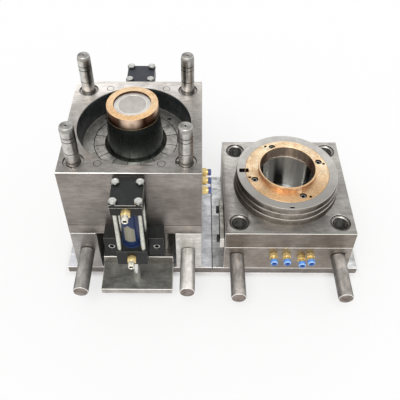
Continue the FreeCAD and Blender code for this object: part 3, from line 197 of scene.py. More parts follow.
def ground(name, tone, dark, stain, rough=0.38, grain=(22.0, 850.0, 850.0), cloud=11.0,
           stained=0.35, marks=0.35, mottle=0.13, light_fades=(), metal=1.0, sides=None):
    """Ground plate steel: fine lines along the grain, clouds of oil film, stains and handling marks.

    Each fade paints light or shade along an axis: it gives the axis, two places on it in millimetres and the
    brightness at each of them.
    sides gives an axis and the brightness where a round bar turns away along it: painted shade down the bar's
    sides.
    """
    finish = Finish(name, metal)
    lines = finish.noise(finish.scaled(*grain), 1.0, 3.0, 0.6)
    clouds = finish.noise(finish.place, cloud, 6.0, 0.62)
    blots = finish.noise(finish.scaled(1.3, 1.0, 0.8, 31.0), cloud * 0.55, 5.0, 0.7)
    stretch = (40.0 if value < 100 else 130.0 for value in grain)
    patches = finish.noise(finish.scaled(*stretch), 1.0, 4.0, 0.65)
    specks = finish.noise(finish.place, 210.0, 3.0, 0.7)
    scored = finish.sum("MAXIMUM", finish.scratches(33.0), finish.scratches(-52.0, 4.0, 310.0, 0.71))
    colour = finish.mix(finish.ramp(clouds, 0.34, 0.62), dark, tone)
    colour = finish.mix(finish.ramp(blots, 0.54, 0.74, 0.0, stained), colour, stain)
    colour = finish.shade(colour, finish.ramp(patches, 0.28, 0.72, 1.0 - mottle, 1.0 + mottle))
    colour = finish.shade(colour, finish.ramp(lines, 0.25, 0.75, 0.88, 1.10))
    colour = finish.shade(colour, finish.ramp(specks, 0.62, 0.8, 1.0, 0.78))
    colour = finish.shade(colour, finish.ramp(scored, 0.0, 1.0, 1.0, 1.0 + marks))
    # Painted light and shade along axes.
    colour = finish.painted_light_along(colour, light_fades)
    # Painted shade down the sides of round bars.
    if sides:
        colour = finish.rounded(colour, *sides)
    finish.set("Base Color", colour)
    film = finish.ramp(clouds, 0.3, 0.7, rough + 0.10, rough - 0.06)
    finish.set("Roughness", finish.sum("ADD", film, finish.ramp(lines, 0.2, 0.8, -0.04, 0.06)))
    return finish.bump(finish.sum("ADD", lines, finish.sum("MULTIPLY", scored, -2.2 * marks)), 0.02, 0.6)


def turned(name, tone, dark, rough=0.25, centre=(0.0, 0.0), pitch=0.35, contrast=0.14,
           blotch=0.10, glints=0.12, metal=1.0, bands=0.0, reflection_fans=None, stain=None, shaded_front=None, corners=0.0,
           grain=0.0):
    """Turned metal: rings round the upright axis, faint blotches, soft painted glints by angle, and optional
    painted light: a darker front and light and dark reflection sectors.
    """
    finish = Finish(name, metal, rough, centre)
    if corners:
        finish.at_corners(corners)
    radius, angle = finish.radius(), finish.angle()
    height = finish.axes()[2]
    feed = finish.sum("ADD", finish.sum("MULTIPLY", radius, 1000 / pitch),
                      finish.sum("MULTIPLY", height, 1000 / pitch))
    rings = finish.noise(finish.along(feed), 1.0, 2.0, 0.6)
    blots = finish.noise(finish.place, 38.0, 5.0, 0.65)
    glint = finish.noise(finish.along(finish.sum("MULTIPLY", angle, 9.0), 0.0,
                                      finish.sum("MULTIPLY", height, 3.0)), 1.0, 2.0, 0.5)
    colour = finish.mix(finish.ramp(blots, 0.35, 0.65, 0.0, 1.0), dark, tone)
    if stain:
        patches = finish.noise(finish.scaled(1.0, 0.8, 1.2, 17.0), 60.0, 6.0, 0.7)
        colour = finish.mix(finish.ramp(patches, 0.50, 0.66, 0.0, 0.75), colour, stain)
    if bands:
        wide = finish.noise(finish.along(finish.sum("MULTIPLY", feed, 0.035)), 1.0, 3.0, 0.6)
        colour = finish.shade(colour, finish.ramp(wide, 0.35, 0.65, 1.0 - bands, 1.0 + bands))
    # Painted shade: the front of the face darker than the rear.
    if shaded_front:
        colour = finish.mix(finish.ramp(finish.axes()[1], -0.11, 0.05), shaded_front, colour)
    # Painted reflection: light and dark sectors round the axis.
    if reflection_fans:
        colour = finish.shade(colour, finish.ramp(finish.lobes(*reflection_fans[:2]), 0.0, 1.0, *reflection_fans[2:]))
    colour = finish.shade(colour, finish.ramp(rings, 0.25, 0.75, 1.0 - contrast, 1.0 + contrast))
    colour = finish.shade(colour, finish.ramp(glint, 0.3, 0.7, 1.0 - glints, 1.0 + glints))
    if grain:
        worn = finish.noise(finish.place, 260.0, 5.0, 0.75)
        colour = finish.shade(colour, finish.ramp(worn, 0.3, 0.7, 1.0 - grain, 1.0 + grain))
    finish.set("Base Color", colour)
    finish.set("Roughness", finish.ramp(blots, 0.3, 0.7, rough + blotch, rough))
    return finish.bump(rings, 0.015, 0.5)


def painted(name, tone, worn, rough=0.45, wear=0.3, label=None):
    """Paint or black oxide: slight orange peel, dust, and thin rubbed places."""
    finish = Finish(name, 0.0)
    finish.set("Specular IOR Level", 0.28)
    peel = finish.noise(finish.place, 420.0, 3.0, 0.5)
    dust = finish.noise(finish.place, 26.0, 6.0, 0.65)
    rubbed = finish.noise(finish.scaled(1.0, 1.6, 0.7, 20.0), 75.0, 5.0, 0.7)
    colour = finish.mix(finish.ramp(dust, 0.45, 0.75, 0.0, 0.35), tone, worn)
    colour = finish.mix(finish.ramp(rubbed, 0.66, 0.74, 0.0, wear), colour, worn)
    if label:
        labelled(finish, colour, label)
    else:
        finish.set("Base Color", colour)
    finish.set("Roughness", finish.ramp(dust, 0.3, 0.7, rough - 0.08, rough + 0.12))
    return finish.bump(peel, 0.02, 0.35)


def labelled(finish, paint, paper):
    """Sets paint, and a bare pale label on the front of the barrel; its slanted upper edge is a painted
    shadow edge, with the paint above it standing for shade over the label.
    """
    x, y, z = finish.axes()
    # The label stops under a peaked line: the barrel paint above it is painted shadow over the label.
    top = finish.sum("MULTIPLY_ADD", finish.sum("ABSOLUTE", finish.sum("ADD", x, 4 * MM)), -1.1, 310 * MM)
    on = finish.sum("MULTIPLY", finish.sum("GREATER_THAN", x, -15 * MM), finish.sum("LESS_THAN", x, 11 * MM))
    for share in (finish.sum("GREATER_THAN", z, 247 * MM), finish.sum("LESS_THAN", z, top),
                  finish.sum("LESS_THAN", y, -CYLINDER_Y * MM)):
        on = finish.sum("MULTIPLY", on, share)
    bands = finish.noise(finish.scaled(260.0, 0.0, 12.0), 1.0, 2.0, 0.5)
    paper = finish.shade(paper, finish.ramp(bands, 0.35, 0.65, 0.86, 1.08))
    return finish.set("Base Color", finish.mix(on, paint, paper))


def plain(name, tone, rough, metal=0.0, vary=0.08, scale=90.0, light_fades=()):
    """A small part's finish: one tone with faint mottling, and painted light along axes as in ground."""
    finish = Finish(name, metal)
    mottle = finish.noise(finish.place, scale, 4.0, 0.6)
    colour = finish.shade(tone, finish.ramp(mottle, 0.3, 0.7, 1 - vary, 1 + vary))
    finish.set("Base Color", finish.painted_light_along(colour, light_fades))
    finish.set("Roughness", finish.ramp(mottle, 0.3, 0.7, rough + 0.06, rough - 0.04))
    return finish.bump(mottle, 0.01, 0.4)


def streaked(name, tone, dark, rough, centre, streaks=14.0, low=0.35, high=0.62, metal=1.0, reflection_fans=None,
             detail=3.0, fine_share=0.07, reflected_foot=None):
    """Polished metal with painted reflections: upright light and dark streaks round the axis.

    The last argument gives two heights in millimetres, and how much lighter it is at the lower one: a painted
    reflection near the bottom of the body.
    """
    finish = Finish(name, metal, rough, centre)
    angle, height = finish.angle(), finish.axes()[2]
    bands = finish.noise(finish.along(finish.sum("MULTIPLY", angle, streaks), 0.0,
                                      finish.sum("MULTIPLY", height, 1.5)), 1.0, detail, 0.5)
    fine = finish.noise(finish.along(finish.sum("MULTIPLY", angle, 160.0), 0.0,
                                     finish.sum("MULTIPLY", height, 20.0)), 1.0, 2.0, 0.5)
    if reflection_fans:
        bands = finish.sum("MULTIPLY_ADD", bands, reflection_fans[2], finish.sum("MULTIPLY", finish.lobes(*reflection_fans[:2]),
                                                                      1.0 - reflection_fans[2]))
    colour = finish.mix(finish.ramp(bands, low, high), dark, tone)
    # Painted reflection: lighter near the bottom.
    if reflected_foot:
        colour = finish.painted_light_along(colour, [(2, reflected_foot[0], reflected_foot[1], reflected_foot[2], 1.0)])
    colour = finish.shade(colour, finish.ramp(fine, 0.3, 0.7, 1 - fine_share, 1 + fine_share))
    finish.set("Base Color", colour)
    finish.set("Roughness", finish.ramp(fine, 0.3, 0.7, rough, rough + fine_share / 2))
    return finish


# Painted light: the core plate's top is lighter than its sides; the fronts grow lighter towards the upper
# edge, and the top lighter towards the rear and the left.
plate_side = ground("plate_side", srgb(150, 143, 138), srgb(132, 125, 119), srgb(118, 100, 90), marks=0.12,
                    light_fades=[(2, 290, 418, 0.93, 1.18), (0, -120, 40, 1.05, 1.03)])
plate_top = ground("plate_top", srgb(176, 172, 168), srgb(150, 146, 141), srgb(134, 118, 106),
                   grain=(22.0, 900.0, 22.0), stained=0.5, mottle=0.16,
                   light_fades=[(1, -60, 150, 0.9, 2.0), (0, -100, 60, 1.10, 0.85)])
support_side = ground("support_side", srgb(176, 168, 162), srgb(158, 149, 143), srgb(136, 117, 104))
spacer_left_steel = ground("spacer_left_steel", srgb(172, 168, 164), srgb(152, 148, 144), srgb(138, 124, 112))
# Painted reflection: the right spacer is the same steel as the left, made much lighter.
spacer_right_lit_steel = ground("spacer_right_lit_steel", srgb(232, 229, 224), srgb(206, 203, 198),
                            srgb(176, 166, 154), cloud=30.0, metal=0.7)
# Painted light: the clamp plates' tops are far lighter than their sides, the core one lighter still towards
# the right.
clamp_top = ground("clamp_top", srgb(228, 229, 234), srgb(204, 206, 210), srgb(166, 162, 158), cloud=30.0,
                   metal=0.8, mottle=0.16, light_fades=[(0, 0, 190, 1.0, 1.16)])
clamp_side = ground("clamp_side", srgb(144, 137, 133), srgb(126, 119, 115), srgb(116, 98, 88))
cavity_ledge = ground("cavity_ledge", srgb(232, 234, 234), srgb(190, 192, 192), srgb(140, 138, 134),
                      cloud=34.0, stained=0.6, mottle=0.2)
cavity_side = ground("cavity_side", srgb(142, 133, 124), srgb(126, 117, 107), srgb(108, 90, 76))
cavity_back = ground("cavity_back", srgb(160, 152, 144), srgb(140, 131, 122), srgb(120, 102, 88))
# Painted light: the cavity plate's top is lighter than its sides, and lighter towards the rear and the left.
cavity_top = ground("cavity_top", srgb(170, 167, 162), srgb(146, 142, 138), srgb(124, 110, 100),
                    grain=(22.0, 900.0, 22.0), stained=0.45, mottle=0.16,
                    light_fades=[(1, -175, 175, 0.9, 1.3), (0, 250, 350, 1.34, 1.0)])
# Edge finishes, lighter than the faces: painted highlights along the chamfers, the core plate's upper one
# fading towards the right.
edge_highlight = plain("edge_highlight", srgb(246, 242, 236), 0.36, 0.85, 0.14, 40.0)
top_edge_highlight = plain("top_edge_highlight", srgb(255, 253, 248), 0.36, 0.7, 0.10, 40.0, light_fades=[(0, -70, 130, 1.0, 0.42)])
faint_edge_highlight = plain("faint_edge_highlight", srgb(176, 171, 166), 0.4, 1.0, 0.2, 40.0)
# Painted shade: the core recess's wall is near black, much darker than the plate it is cut in.
recess_wall_shade = turned("recess_wall_shade", srgb(86, 91, 92), srgb(66, 71, 72), 0.42, pitch=2.4, contrast=0.05,
                     glints=0.06)
recess_floor = turned("recess_floor", srgb(186, 183, 177), srgb(146, 143, 138), 0.34, pitch=1.3,
                      contrast=0.10, glints=0.0, stain=srgb(104, 98, 92), grain=0.14)
# Dark lines for joints and grooves, also used as painted shade: on the faces towards the gap between the
# halves, beside the strap, under bolt heads, at the root of the bars, round the pillar pockets and on the
# bush pockets' floors.
dark_joint_and_shade = plain("dark_joint_and_shade", srgb(30, 29, 28), 0.6, 0.5)
soft_joint_and_shade = plain("soft_joint_and_shade", srgb(78, 74, 70), 0.5, 0.9)
# Painted highlight on the chamfered rims of the pillar noses and bush mouths.
rim_highlight = plain("rim_highlight", srgb(188, 185, 180), 0.34, 1.0)
# Painted shade: near-black walls of the pockets round the pillars and bushes, inside the boss opening, and on
# the chamfers of the bush mouths.
relief_wall_shade = plain("relief_wall_shade", srgb(48, 45, 42), 0.5, 0.8, 0.2)
relief_floor = ground("relief_floor", srgb(164, 160, 155), srgb(138, 134, 129), srgb(112, 98, 86), cloud=60.0)
# Painted shade: near black inside sockets and bores.
bore_shade = plain("bore_shade", srgb(30, 29, 28), 0.6, 0.5)
# Painted reflections: light and dark sectors round each pillar and its nose.
pillar_steel = turned("pillar_steel", srgb(206, 203, 199), srgb(172, 168, 163), 0.26, pitch=1.4,
                      contrast=0.10, blotch=0.08, glints=0.14, bands=0.12, reflection_fans=(2, -112, 0.46, 1.2),
                      corners=PILLAR_AT, grain=0.08)
pillar_nose = turned("pillar_nose", srgb(180, 178, 174), srgb(150, 147, 142), 0.34, pitch=0.9,
                     contrast=0.10, glints=0.0, reflection_fans=(2, -112, 0.7, 1.14), corners=PILLAR_AT, grain=0.10)
# Painted light on the support bars: a pale tone for the lit band along the top, painted shade down both
# sides, and the left core bar darker than the right.
core_bar = ground("core_bar", srgb(246, 242, 236), srgb(206, 202, 194), srgb(150, 136, 120), rough=0.5,
                  cloud=26.0, grain=(700.0, 16.0, 700.0), stained=0.4, mottle=0.18, metal=0.45,
                  light_fades=[(0, -60, 60, 0.46, 1.0)], sides=(0, 0.40))
cavity_bar = ground("cavity_bar", srgb(196, 190, 184), srgb(160, 154, 148), srgb(122, 106, 94), rough=0.5,
                    cloud=22.0, grain=(700.0, 16.0, 700.0), stained=0.5, mottle=0.24, metal=0.7,
                    sides=(0, 0.42))
bar_end = ground("bar_end", srgb(150, 139, 132), srgb(122, 110, 102), srgb(100, 84, 74),
                 cloud=60.0, mottle=0.2)
# Painted reflections: upright light and dark streaks and sectors on the core and the side of its copper tip,
# and a lighter band low on the core.
core_steel = streaked("core_steel", srgb(130, 136, 132), srgb(62, 68, 65), 0.26, (0.0, 0.0), 8.0,
                      0.36, 0.68, reflection_fans=(1, -55, 0.6), detail=1.5, fine_share=0.03, reflected_foot=(358, 372, 1.5))
copper_side = streaked("copper_side", srgb(244, 214, 190), srgb(84, 56, 42), 0.24, (0.0, 0.0), 4.0,
                       0.28, 0.82, reflection_fans=(4, -92, 0.45), detail=2.0, fine_share=0.04)
# Painted light: the copper tip's top is darker towards the front, and a light line on its lower lip and on
# the collar's edges is a painted highlight.
copper_top = turned("copper_top", srgb(252, 222, 184), srgb(234, 196, 152), 0.36, pitch=0.9, contrast=0.12,
                    glints=0.10, shaded_front=srgb(236, 194, 144), grain=0.22)
copper_lip_highlight = plain("copper_lip_highlight", srgb(250, 212, 162), 0.38, 0.8)
copper_shade = plain("copper_shade", srgb(78, 52, 36), 0.45, 0.8)
valve_steel = turned("valve_steel", srgb(202, 198, 192), srgb(192, 187, 181), 0.46, pitch=0.7,
                     contrast=0.06, glints=0.03)
valve_rim = turned("valve_rim", srgb(228, 224, 217), srgb(214, 209, 202), 0.38, pitch=0.5, glints=0.04)
# Painted light: the ejector plates' tops and faces take separate tones; the base plate's top is darker, and
# darker still towards its front edge, as painted shade under the mould.
ejector_steel = ground("ejector_steel", srgb(156, 156, 150), srgb(118, 118, 112), srgb(92, 86, 78),
                       rough=0.56, cloud=16.0, marks=1.1, mottle=0.24, light_fades=[(1, -190, -262, 1.2, 0.78)],
                       metal=0.7)
ejector_face = ground("ejector_face", srgb(188, 182, 176), srgb(158, 152, 146), srgb(130, 116, 104),
                      cloud=24.0)
retainer_steel = ground("retainer_steel", srgb(204, 201, 196), srgb(156, 153, 148), srgb(116, 104, 94),
                        cloud=34.0, mottle=0.24)
# Painted light on the black parts: the tops of caps, brackets and saddles are lighter than their sides, the
# rear ones lighter still, and lighter edges and chamfers are painted highlights.
black_oxide = painted("black_oxide", srgb(16, 17, 16), srgb(50, 50, 46), 0.42)
cap_top_black = painted("cap_top_black", srgb(34, 36, 36), srgb(76, 78, 75), 0.38)
cap_top_lit = painted("cap_top_lit", srgb(58, 61, 68), srgb(92, 94, 98), 0.38)
black_edge_highlight = plain("black_edge_highlight", srgb(170, 167, 158), 0.42, 0.9)
dim_black_highlight = plain("dim_black_highlight", srgb(84, 84, 82), 0.42, 0.8)
blue_paint = painted("blue_paint", srgb(28, 46, 88), srgb(54, 70, 104), 0.30, wear=0.2,
                     label=srgb(146, 142, 126))
zinc = plain("zinc", srgb(150, 150, 146), 0.30, 1.0, 0.2)
zinc_rod = plain("zinc_rod", srgb(206, 206, 196), 0.34, 0.9, 0.16)
zinc_face = plain("zinc_face", srgb(204, 204, 200), 0.38, 1.0, 0.20, 160.0)
screw_face = plain("screw_face", srgb(168, 168, 166), 0.36, 1.0, 0.16, 160.0)
chrome = plain("chrome", srgb(226, 226, 222), 0.16, 1.0, 0.05)
brass = plain("brass", srgb(240, 214, 150), 0.30, 0.7, 0.2)
nickel = plain("nickel", srgb(228, 223, 208), 0.24, 0.9, 0.10)
blue_cap_seat = painted("blue_cap_seat", srgb(30, 48, 92), srgb(54, 70, 106), 0.34, wear=0.2)
blue_plastic = plain("blue_plastic", srgb(104, 164, 242), 0.35)
blue_ring = plain("blue_ring", srgb(172, 210, 255), 0.35)
navy_plastic = plain("navy_plastic", srgb(84, 98, 158), 0.35)
throat = plain("throat", srgb(66, 104, 178), 0.5)
bush_steel = turned("bush_steel", srgb(104, 102, 98), srgb(78, 76, 73), 0.40, (CAVITY_X, 0.0), pitch=0.6,
                    corners=PILLAR_AT)
# Painted highlight: a bright ring in the groove of the air valve's head.
valve_ring_highlight = plain("valve_ring_highlight", srgb(240, 238, 234), 0.3, 1.0)
bush_bore = turned("bush_bore", srgb(226, 224, 220), srgb(150, 148, 144), 0.26, (CAVITY_X, 0.0), pitch=1.4,
                   glints=0.4, corners=PILLAR_AT, metal=0.84)
# Painted light on the boss: its top is darker towards the front, its side has light and dark reflection
# sectors, and its light steps and edges are painted highlights.
boss_top = turned("boss_top", srgb(208, 205, 200), srgb(192, 188, 183), 0.42, (CAVITY_X, 0.0), 0.8,
                  0.06, glints=0.05, shaded_front=srgb(160, 157, 152))
boss_side = turned("boss_side", srgb(138, 131, 123), srgb(110, 104, 97), 0.32, (CAVITY_X, 0.0), 1.4, 0.22,
                   reflection_fans=(2, -98, 0.5, 1.16), stain=srgb(92, 82, 74))
boss_ledge_highlight = plain("boss_ledge_highlight", srgb(206, 199, 191), 0.36, 1.0)
# Painted shade: the copper ring's top darker towards the front.
ring_copper = turned("ring_copper", srgb(255, 236, 206), srgb(240, 208, 168), 0.40, (CAVITY_X, 0.0), 1.3,
                     0.14, glints=0.14, shaded_front=srgb(206, 170, 128), stain=srgb(214, 178, 138), grain=0.22)
ring_groove = plain("ring_groove", srgb(64, 46, 34), 0.5, 0.9)
collar_copper = turned("collar_copper", srgb(222, 184, 146), srgb(176, 130, 94), 0.36, (CAVITY_X, 0.0), 1.6,
                       0.30, glints=0.24, metal=0.75, grain=0.2)
# Painted reflections: upright light and dark streaks in the copper bore and the mirror sleeve, with a light
# sector at the rear of the bore and one opposite.
bore_copper = streaked("bore_copper", srgb(255, 230, 208), srgb(132, 92, 72), 0.16, (CAVITY_X, 0.0), 5.0,
                       0.30, 0.74, metal=0.8, reflection_fans=(2, 78, 0.4), detail=1.0, fine_share=0.03)
mirror_steel = streaked("mirror_steel", srgb(226, 223, 217), srgb(46, 44, 42), 0.08, (CAVITY_X, 0.0), 9.0,
                        0.46, 0.54, metal=0.72, detail=1.0, fine_share=0.0)
gate_steel = turned("gate_steel", srgb(150, 153, 153), srgb(118, 121, 122), 0.3, (CAVITY_X, 0.0), 0.5)
segment_steel = turned("segment_steel", srgb(184, 181, 175), srgb(144, 141, 136), 0.32, pitch=1.2,
                       contrast=0.12, stain=srgb(100, 94, 88), grain=0.14)
strap_steel = ground("strap_steel", srgb(184, 180, 173), srgb(148, 144, 137), srgb(98, 88, 80), cloud=60.0,
                     mottle=0.26)
# Painted light: the strap's front face is lighter than its sides.
strap_end_lit = plain("strap_end_lit", srgb(226, 220, 213), 0.4, 0.9)
bolt_dark = plain("bolt_dark", srgb(40, 39, 38), 0.45, 0.8, 0.2)
hidden_steel = plain("hidden_steel", srgb(130, 128, 124), 0.4, 1.0)
hidden_brass = plain("hidden_brass", srgb(180, 146, 82), 0.35, 1.0)


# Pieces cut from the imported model: a node's faces joined, its outer edges broken, and finished

def dressed(node, finishes, edges=(edge_highlight,), width=0.6, rule=None, edge_rule=None, keep=None):
    """Stands for a node: rule(centre, normal) gives each face its place in finishes.

    edge_rule(centre) does the same for the broken edges, and keep(centre) spares an edge.
    """
    work = bmesh.new()
    work.from_mesh(frame["nodes"][node].data)
    bmesh.ops.remove_doubles(work, verts=work.verts, dist=2e-6)
    bmesh.ops.dissolve_limit(work, angle_limit=math.radians(0.4), verts=work.verts, edges=work.edges)
    for face in work.faces:
        face.material_index = rule(face.calc_center_median() / MM, face.normal) if rule else 0
    # Broken edges take the edge finishes, mostly lighter than the faces: painted highlights along the
    # chamfers.
    if width:
        corners = [e for e in work.edges if len(e.link_faces) == 2 and e.is_convex
                   and e.calc_face_angle(0.0) > math.radians(28)
                   and not (keep and keep((e.verts[0].co + e.verts[1].co) / 2 / MM))]
        made = bmesh.ops.bevel(work, geom=corners, offset=width * MM, offset_type="OFFSET", segments=1,
                               profile=0.5, affect="EDGES", clamp_overlap=False, material=len(finishes))
        for face in made["faces"]:
            if edge_rule:
                face.material_index = len(finishes) + edge_rule(face.calc_center_median() / MM)
    return piece(node + ".finished", work, list(finishes) + list(edges),
                 frame["nodes"][node]["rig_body"], [node])


def piece(name, work, finishes, body, nodes=()):
    """A finished piece from a worked mesh, riding on a body and standing for nodes."""
    mesh = bpy.data.meshes.new(name)
    work.to_mesh(mesh)
    work.free()
    return settled(name, mesh, finishes, body, nodes)


def settled(name, mesh, finishes, body, nodes=(), kinds=None):
    """The finished object of a mesh; kinds gives each face its place in finishes."""
    kinds = kinds or [face.material_index for face in mesh.polygons]
    mesh.materials.clear()
    for finish in finishes:
        mesh.materials.append(finish.material)
    mesh.polygons.foreach_set("material_index", kinds)
    mesh.polygons.foreach_set("use_smooth", [True] * len(mesh.polygons))
    mesh.set_sharp_from_angle(angle=math.radians(32))
    shown = bpy.data.objects.new(name, mesh)
    bpy.context.scene.collection.objects.link(shown)
    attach(shown, body)
    if nodes:
        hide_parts(*nodes)
    return shown


# Pieces turned about an axis

def hexagon(flats):
    """The radius of a hexagon across an angle."""
    return lambda angle: flats / 2 / math.cos((angle + math.pi / 6) % (math.pi / 3) - math.pi / 6)


def turning(rows, steps=64, closed=False):
    """A mesh through rows of (radius, height, finish); a radius or height may follow the angle."""
    work = bmesh.new()
    loops = []
    for row in rows:
        if row[0] == 0:
            loops.append([work.verts.new((0, 0, row[1] * MM))])
            continue
        loop = []
        for step in range(steps):
            angle = math.tau * step / steps
            radius, height = (value(angle) if callable(value) else value for value in row[:2])
            loop.append(work.verts.new((radius * MM * math.cos(angle), radius * MM * math.sin(angle),
                                        height * MM)))
        loops.append(loop)
    order = list(range(len(loops)))
    pairs = list(zip(order, order[1:])) + ([(order[-1], 0)] if closed else [])
    for low, high in pairs:
        for step in range(steps):
            ends = [loops[low][step % len(loops[low])], loops[low][(step + 1) % len(loops[low])],
                    loops[high][(step + 1) % len(loops[high])], loops[high][step % len(loops[high])]]
            corners = list(dict.fromkeys(ends))
            face = work.faces.new(corners)
            face.material_index = rows[low][2] if len(rows[low]) > 2 else 0
    bmesh.ops.recalc_face_normals(work, faces=work.faces)
    return work


def placed(work, x=0.0, y=0.0, z=0.0):
    """The mesh moved to its place, in millimetres."""
    bmesh.ops.translate(work, vec=Vector((x, y, z)) * MM, verts=work.verts)
    return work


# Pieces that repeat

def repeating_tree():
    """Geometry Nodes that set a piece at every point, turned as the point says."""
    tree = bpy.data.node_groups.new("pieces_on_points", "GeometryNodeTree")
    for name, kind in (("Points", "Geometry"), ("Piece", "Object"), ("Spin", "Float"),
                       ("Seed", "Int"), ("Finish", "Material")):
        tree.interface.new_socket(name, in_out="INPUT", socket_type="NodeSocket" + kind)
    tree.interface.new_socket("Pieces", in_out="OUTPUT", socket_type="NodeSocketGeometry")
    made = {}
    for key, kind in (("given", "NodeGroupInput"), ("piece", "GeometryNodeObjectInfo"),
                      ("turn", "GeometryNodeInputNamedAttribute"), ("euler", "FunctionNodeEulerToRotation"),
                      ("chance", "FunctionNodeRandomValue"), ("spin", "ShaderNodeCombineXYZ"),
                      ("spun", "FunctionNodeEulerToRotation"), ("both", "FunctionNodeRotateRotation"),
                      ("set", "GeometryNodeInstanceOnPoints"), ("real", "GeometryNodeRealizeInstances"),
                      ("finish", "GeometryNodeSetMaterial"), ("result", "NodeGroupOutput")):
        made[key] = tree.nodes.new(kind)
    made["turn"].data_type = "FLOAT_VECTOR"
    made["turn"].inputs["Name"].default_value = "turn"
    made["both"].rotation_space = "LOCAL"
    link = tree.links.new
    given = made["given"].outputs
    link(given["Piece"], made["piece"].inputs["Object"])
    link(made["turn"].outputs[0], made["euler"].inputs[0])
    link(given["Spin"], made["chance"].inputs[3])
    link(given["Seed"], made["chance"].inputs["Seed"])
    link(made["chance"].outputs[1], made["spin"].inputs["Z"])
    link(made["spin"].outputs[0], made["spun"].inputs[0])
    link(made["euler"].outputs[0], made["both"].inputs[0])
    link(made["spun"].outputs[0], made["both"].inputs[1])
    link(given["Points"], made["set"].inputs["Points"])
    link(made["piece"].outputs["Geometry"], made["set"].inputs["Instance"])
    link(made["both"].outputs[0], made["set"].inputs["Rotation"])
    link(made["set"].outputs[0], made["real"].inputs[0])
    link(made["real"].outputs[0], made["finish"].inputs["Geometry"])
    link(given["Finish"], made["finish"].inputs["Material"])
    link(made["finish"].outputs[0], made["result"].inputs[0])
    return tree


REPEATING = repeating_tree()


def repeated(name, work, finishes, places, body, nodes=(), spin=0.0, seed=1):
    """The same piece at each ((x, y, z), (turns in degrees)), as one mesh."""
    master = bpy.data.meshes.new(name + ".one")
    work.to_mesh(master)
    work.free()
    kinds = [face.material_index for face in master.polygons]
    one = bpy.data.objects.new(name + ".one", master)
    points = bpy.data.meshes.new(name + ".points")
    points.from_pydata([Vector(place) * MM for place, _ in places], [], [])
    turns = points.attributes.new("turn", "FLOAT_VECTOR", "POINT")
    for index, (_, turn) in enumerate(places):
        turns.data[index].vector = [math.radians(a) for a in turn]
    carrier = bpy.data.objects.new(name + ".carrier", points)
    bpy.context.scene.collection.objects.link(one)
    bpy.context.scene.collection.objects.link(carrier)
    modifier = carrier.modifiers.new("repeat", "NODES")
    modifier.node_group = REPEATING
    keys = {item.name: item.identifier for item in REPEATING.interface.items_tree}
    modifier[keys["Piece"]] = one
    modifier[keys["Spin"]] = spin
    modifier[keys["Seed"]] = seed
    modifier[keys["Finish"]] = finishes[0].material
    bpy.context.view_layer.update()
    graph = bpy.context.evaluated_depsgraph_get()
    mesh = bpy.data.meshes.new_from_object(carrier.evaluated_get(graph))
    carrier.modifiers.clear()
    for spent in (carrier, one):
        bpy.data.objects.remove(spent)
    if "turn" in mesh.attributes:
        mesh.attributes.remove(mesh.attributes["turn"])
    return settled(name, mesh, finishes, body, nodes, kinds * len(places))


UPRIGHT = (0.0, 0.0, 0.0)
FRONTWARD = (90.0, 0.0, 0.0)
REARWARD = (-90.0, 0.0, 0.0)
RIGHTWARD = (0.0, 90.0, 0.0)
LEFTWARD = (0.0, -90.0, 0.0)
CORNERS = [(-1, -1), (1, -1), (1, 1), (-1, 1)]


def hex_head(flats, height, shank, length, waist=()):
    """A bolt: forged hexagon head with a rounded crown and a washer, on its origin, the shank below.

    waist is the thinner stretch of the shank: its ends, measured from the head, and its radius.
    """
    side, crown = hexagon(flats), flats / 2 * 0.93
    slope = lambda angle: height - (side(angle) - crown) * 0.52
    rows = [(0, -length, 1), (shank - 0.8, -length, 1), (shank, -length + 0.8, 1)]
    if waist:
        low, high, radius = waist
        rows += [(shank, low, 1), (radius, low + 1, 1), (radius, high - 1, 1), (shank, high, 1)]
    return turning(rows + [
        (shank, 0, 3), (flats / 1.75, 0, 3), (flats / 1.75, 0.9, 3), (crown, 0.9), (side, 1.2),
        (side, lambda a: slope(a) - 0.15), (lambda a: side(a) * 0.985, slope), (crown, height - 0.1),
        (crown - 0.6, height, 2), (crown * 0.62, height, 2), (crown * 0.56, height - 0.4, 2),
        (0, height - 0.5, 2),
    ], 72)


def socket_head(radius, length):
    """A socket screw: chamfered head with a hexagon socket, the underside of its head at its origin."""
    head, height, socket = 1.5 * radius, 2 * radius, hexagon(1.6 * radius)
    return turning([
        (0, -length), (radius - 0.6, -length), (radius, -length + 0.6), (radius, 0), (head, 0),
        (head, height - 0.7, 1), (head - 0.7, height, 1), (0.98 * radius, height, 2),
        (lambda a: socket(a), height - 0.4, 2), (socket, 0.9 * radius, 2), (0, 0.7 * radius, 2),
    ], 60)


# Core half: plates

def near_pillar(centre):
    return math.hypot(abs(centre.x) - PILLAR_AT, abs(centre.y) - PILLAR_AT) < 26


def near_pin(centre):
    return math.hypot(abs(centre.x) - PIN_AT[0], abs(centre.y) - PIN_AT[1]) < 12


def core_plate_faces(centre, normal):
    radius = math.hypot(centre.x, centre.y)
    on_top = centre.z > CORE_TOP - 0.5
    # The pockets round the pillars and the wall of the recess take dark finishes: painted shade.
    if near_pillar(centre) and centre.z > 380 and (abs(normal.z) < 0.5 or not on_top):
        return 4 if abs(normal.z) < 0.5 else 3
    if normal.z > 0.9 and on_top:
        return 1
    return 2 if 105 < radius < 148 and centre.z > 342 else 0


def core_plate_edges(centre):
    # Edges round the pillar pockets take the soft dark line as a painted shadow ring; the others take lighter
    # edge finishes as painted highlights.
    if near_pillar(centre):
        return 2
    if math.hypot(centre.x, centre.y) < 150:
        return 1
    return 0 if centre.z > CORE_TOP - 1 else 2 if centre.z < 219 else 1


# Tops apart from sides, so that they take separate tones: painted light.
def side_or_top(centre, normal):
    return 1 if normal.z > 0.9 else 0


# Tops take the lighter top finish as painted light, and the faces towards the gap between the halves take a
# near-black finish as painted shade.
def clamp_faces(centre, normal):
    return 1 if normal.z > 0.9 else 2 if in_gap(centre) else 0


def in_gap(centre):
    return 200 < centre.x < 210


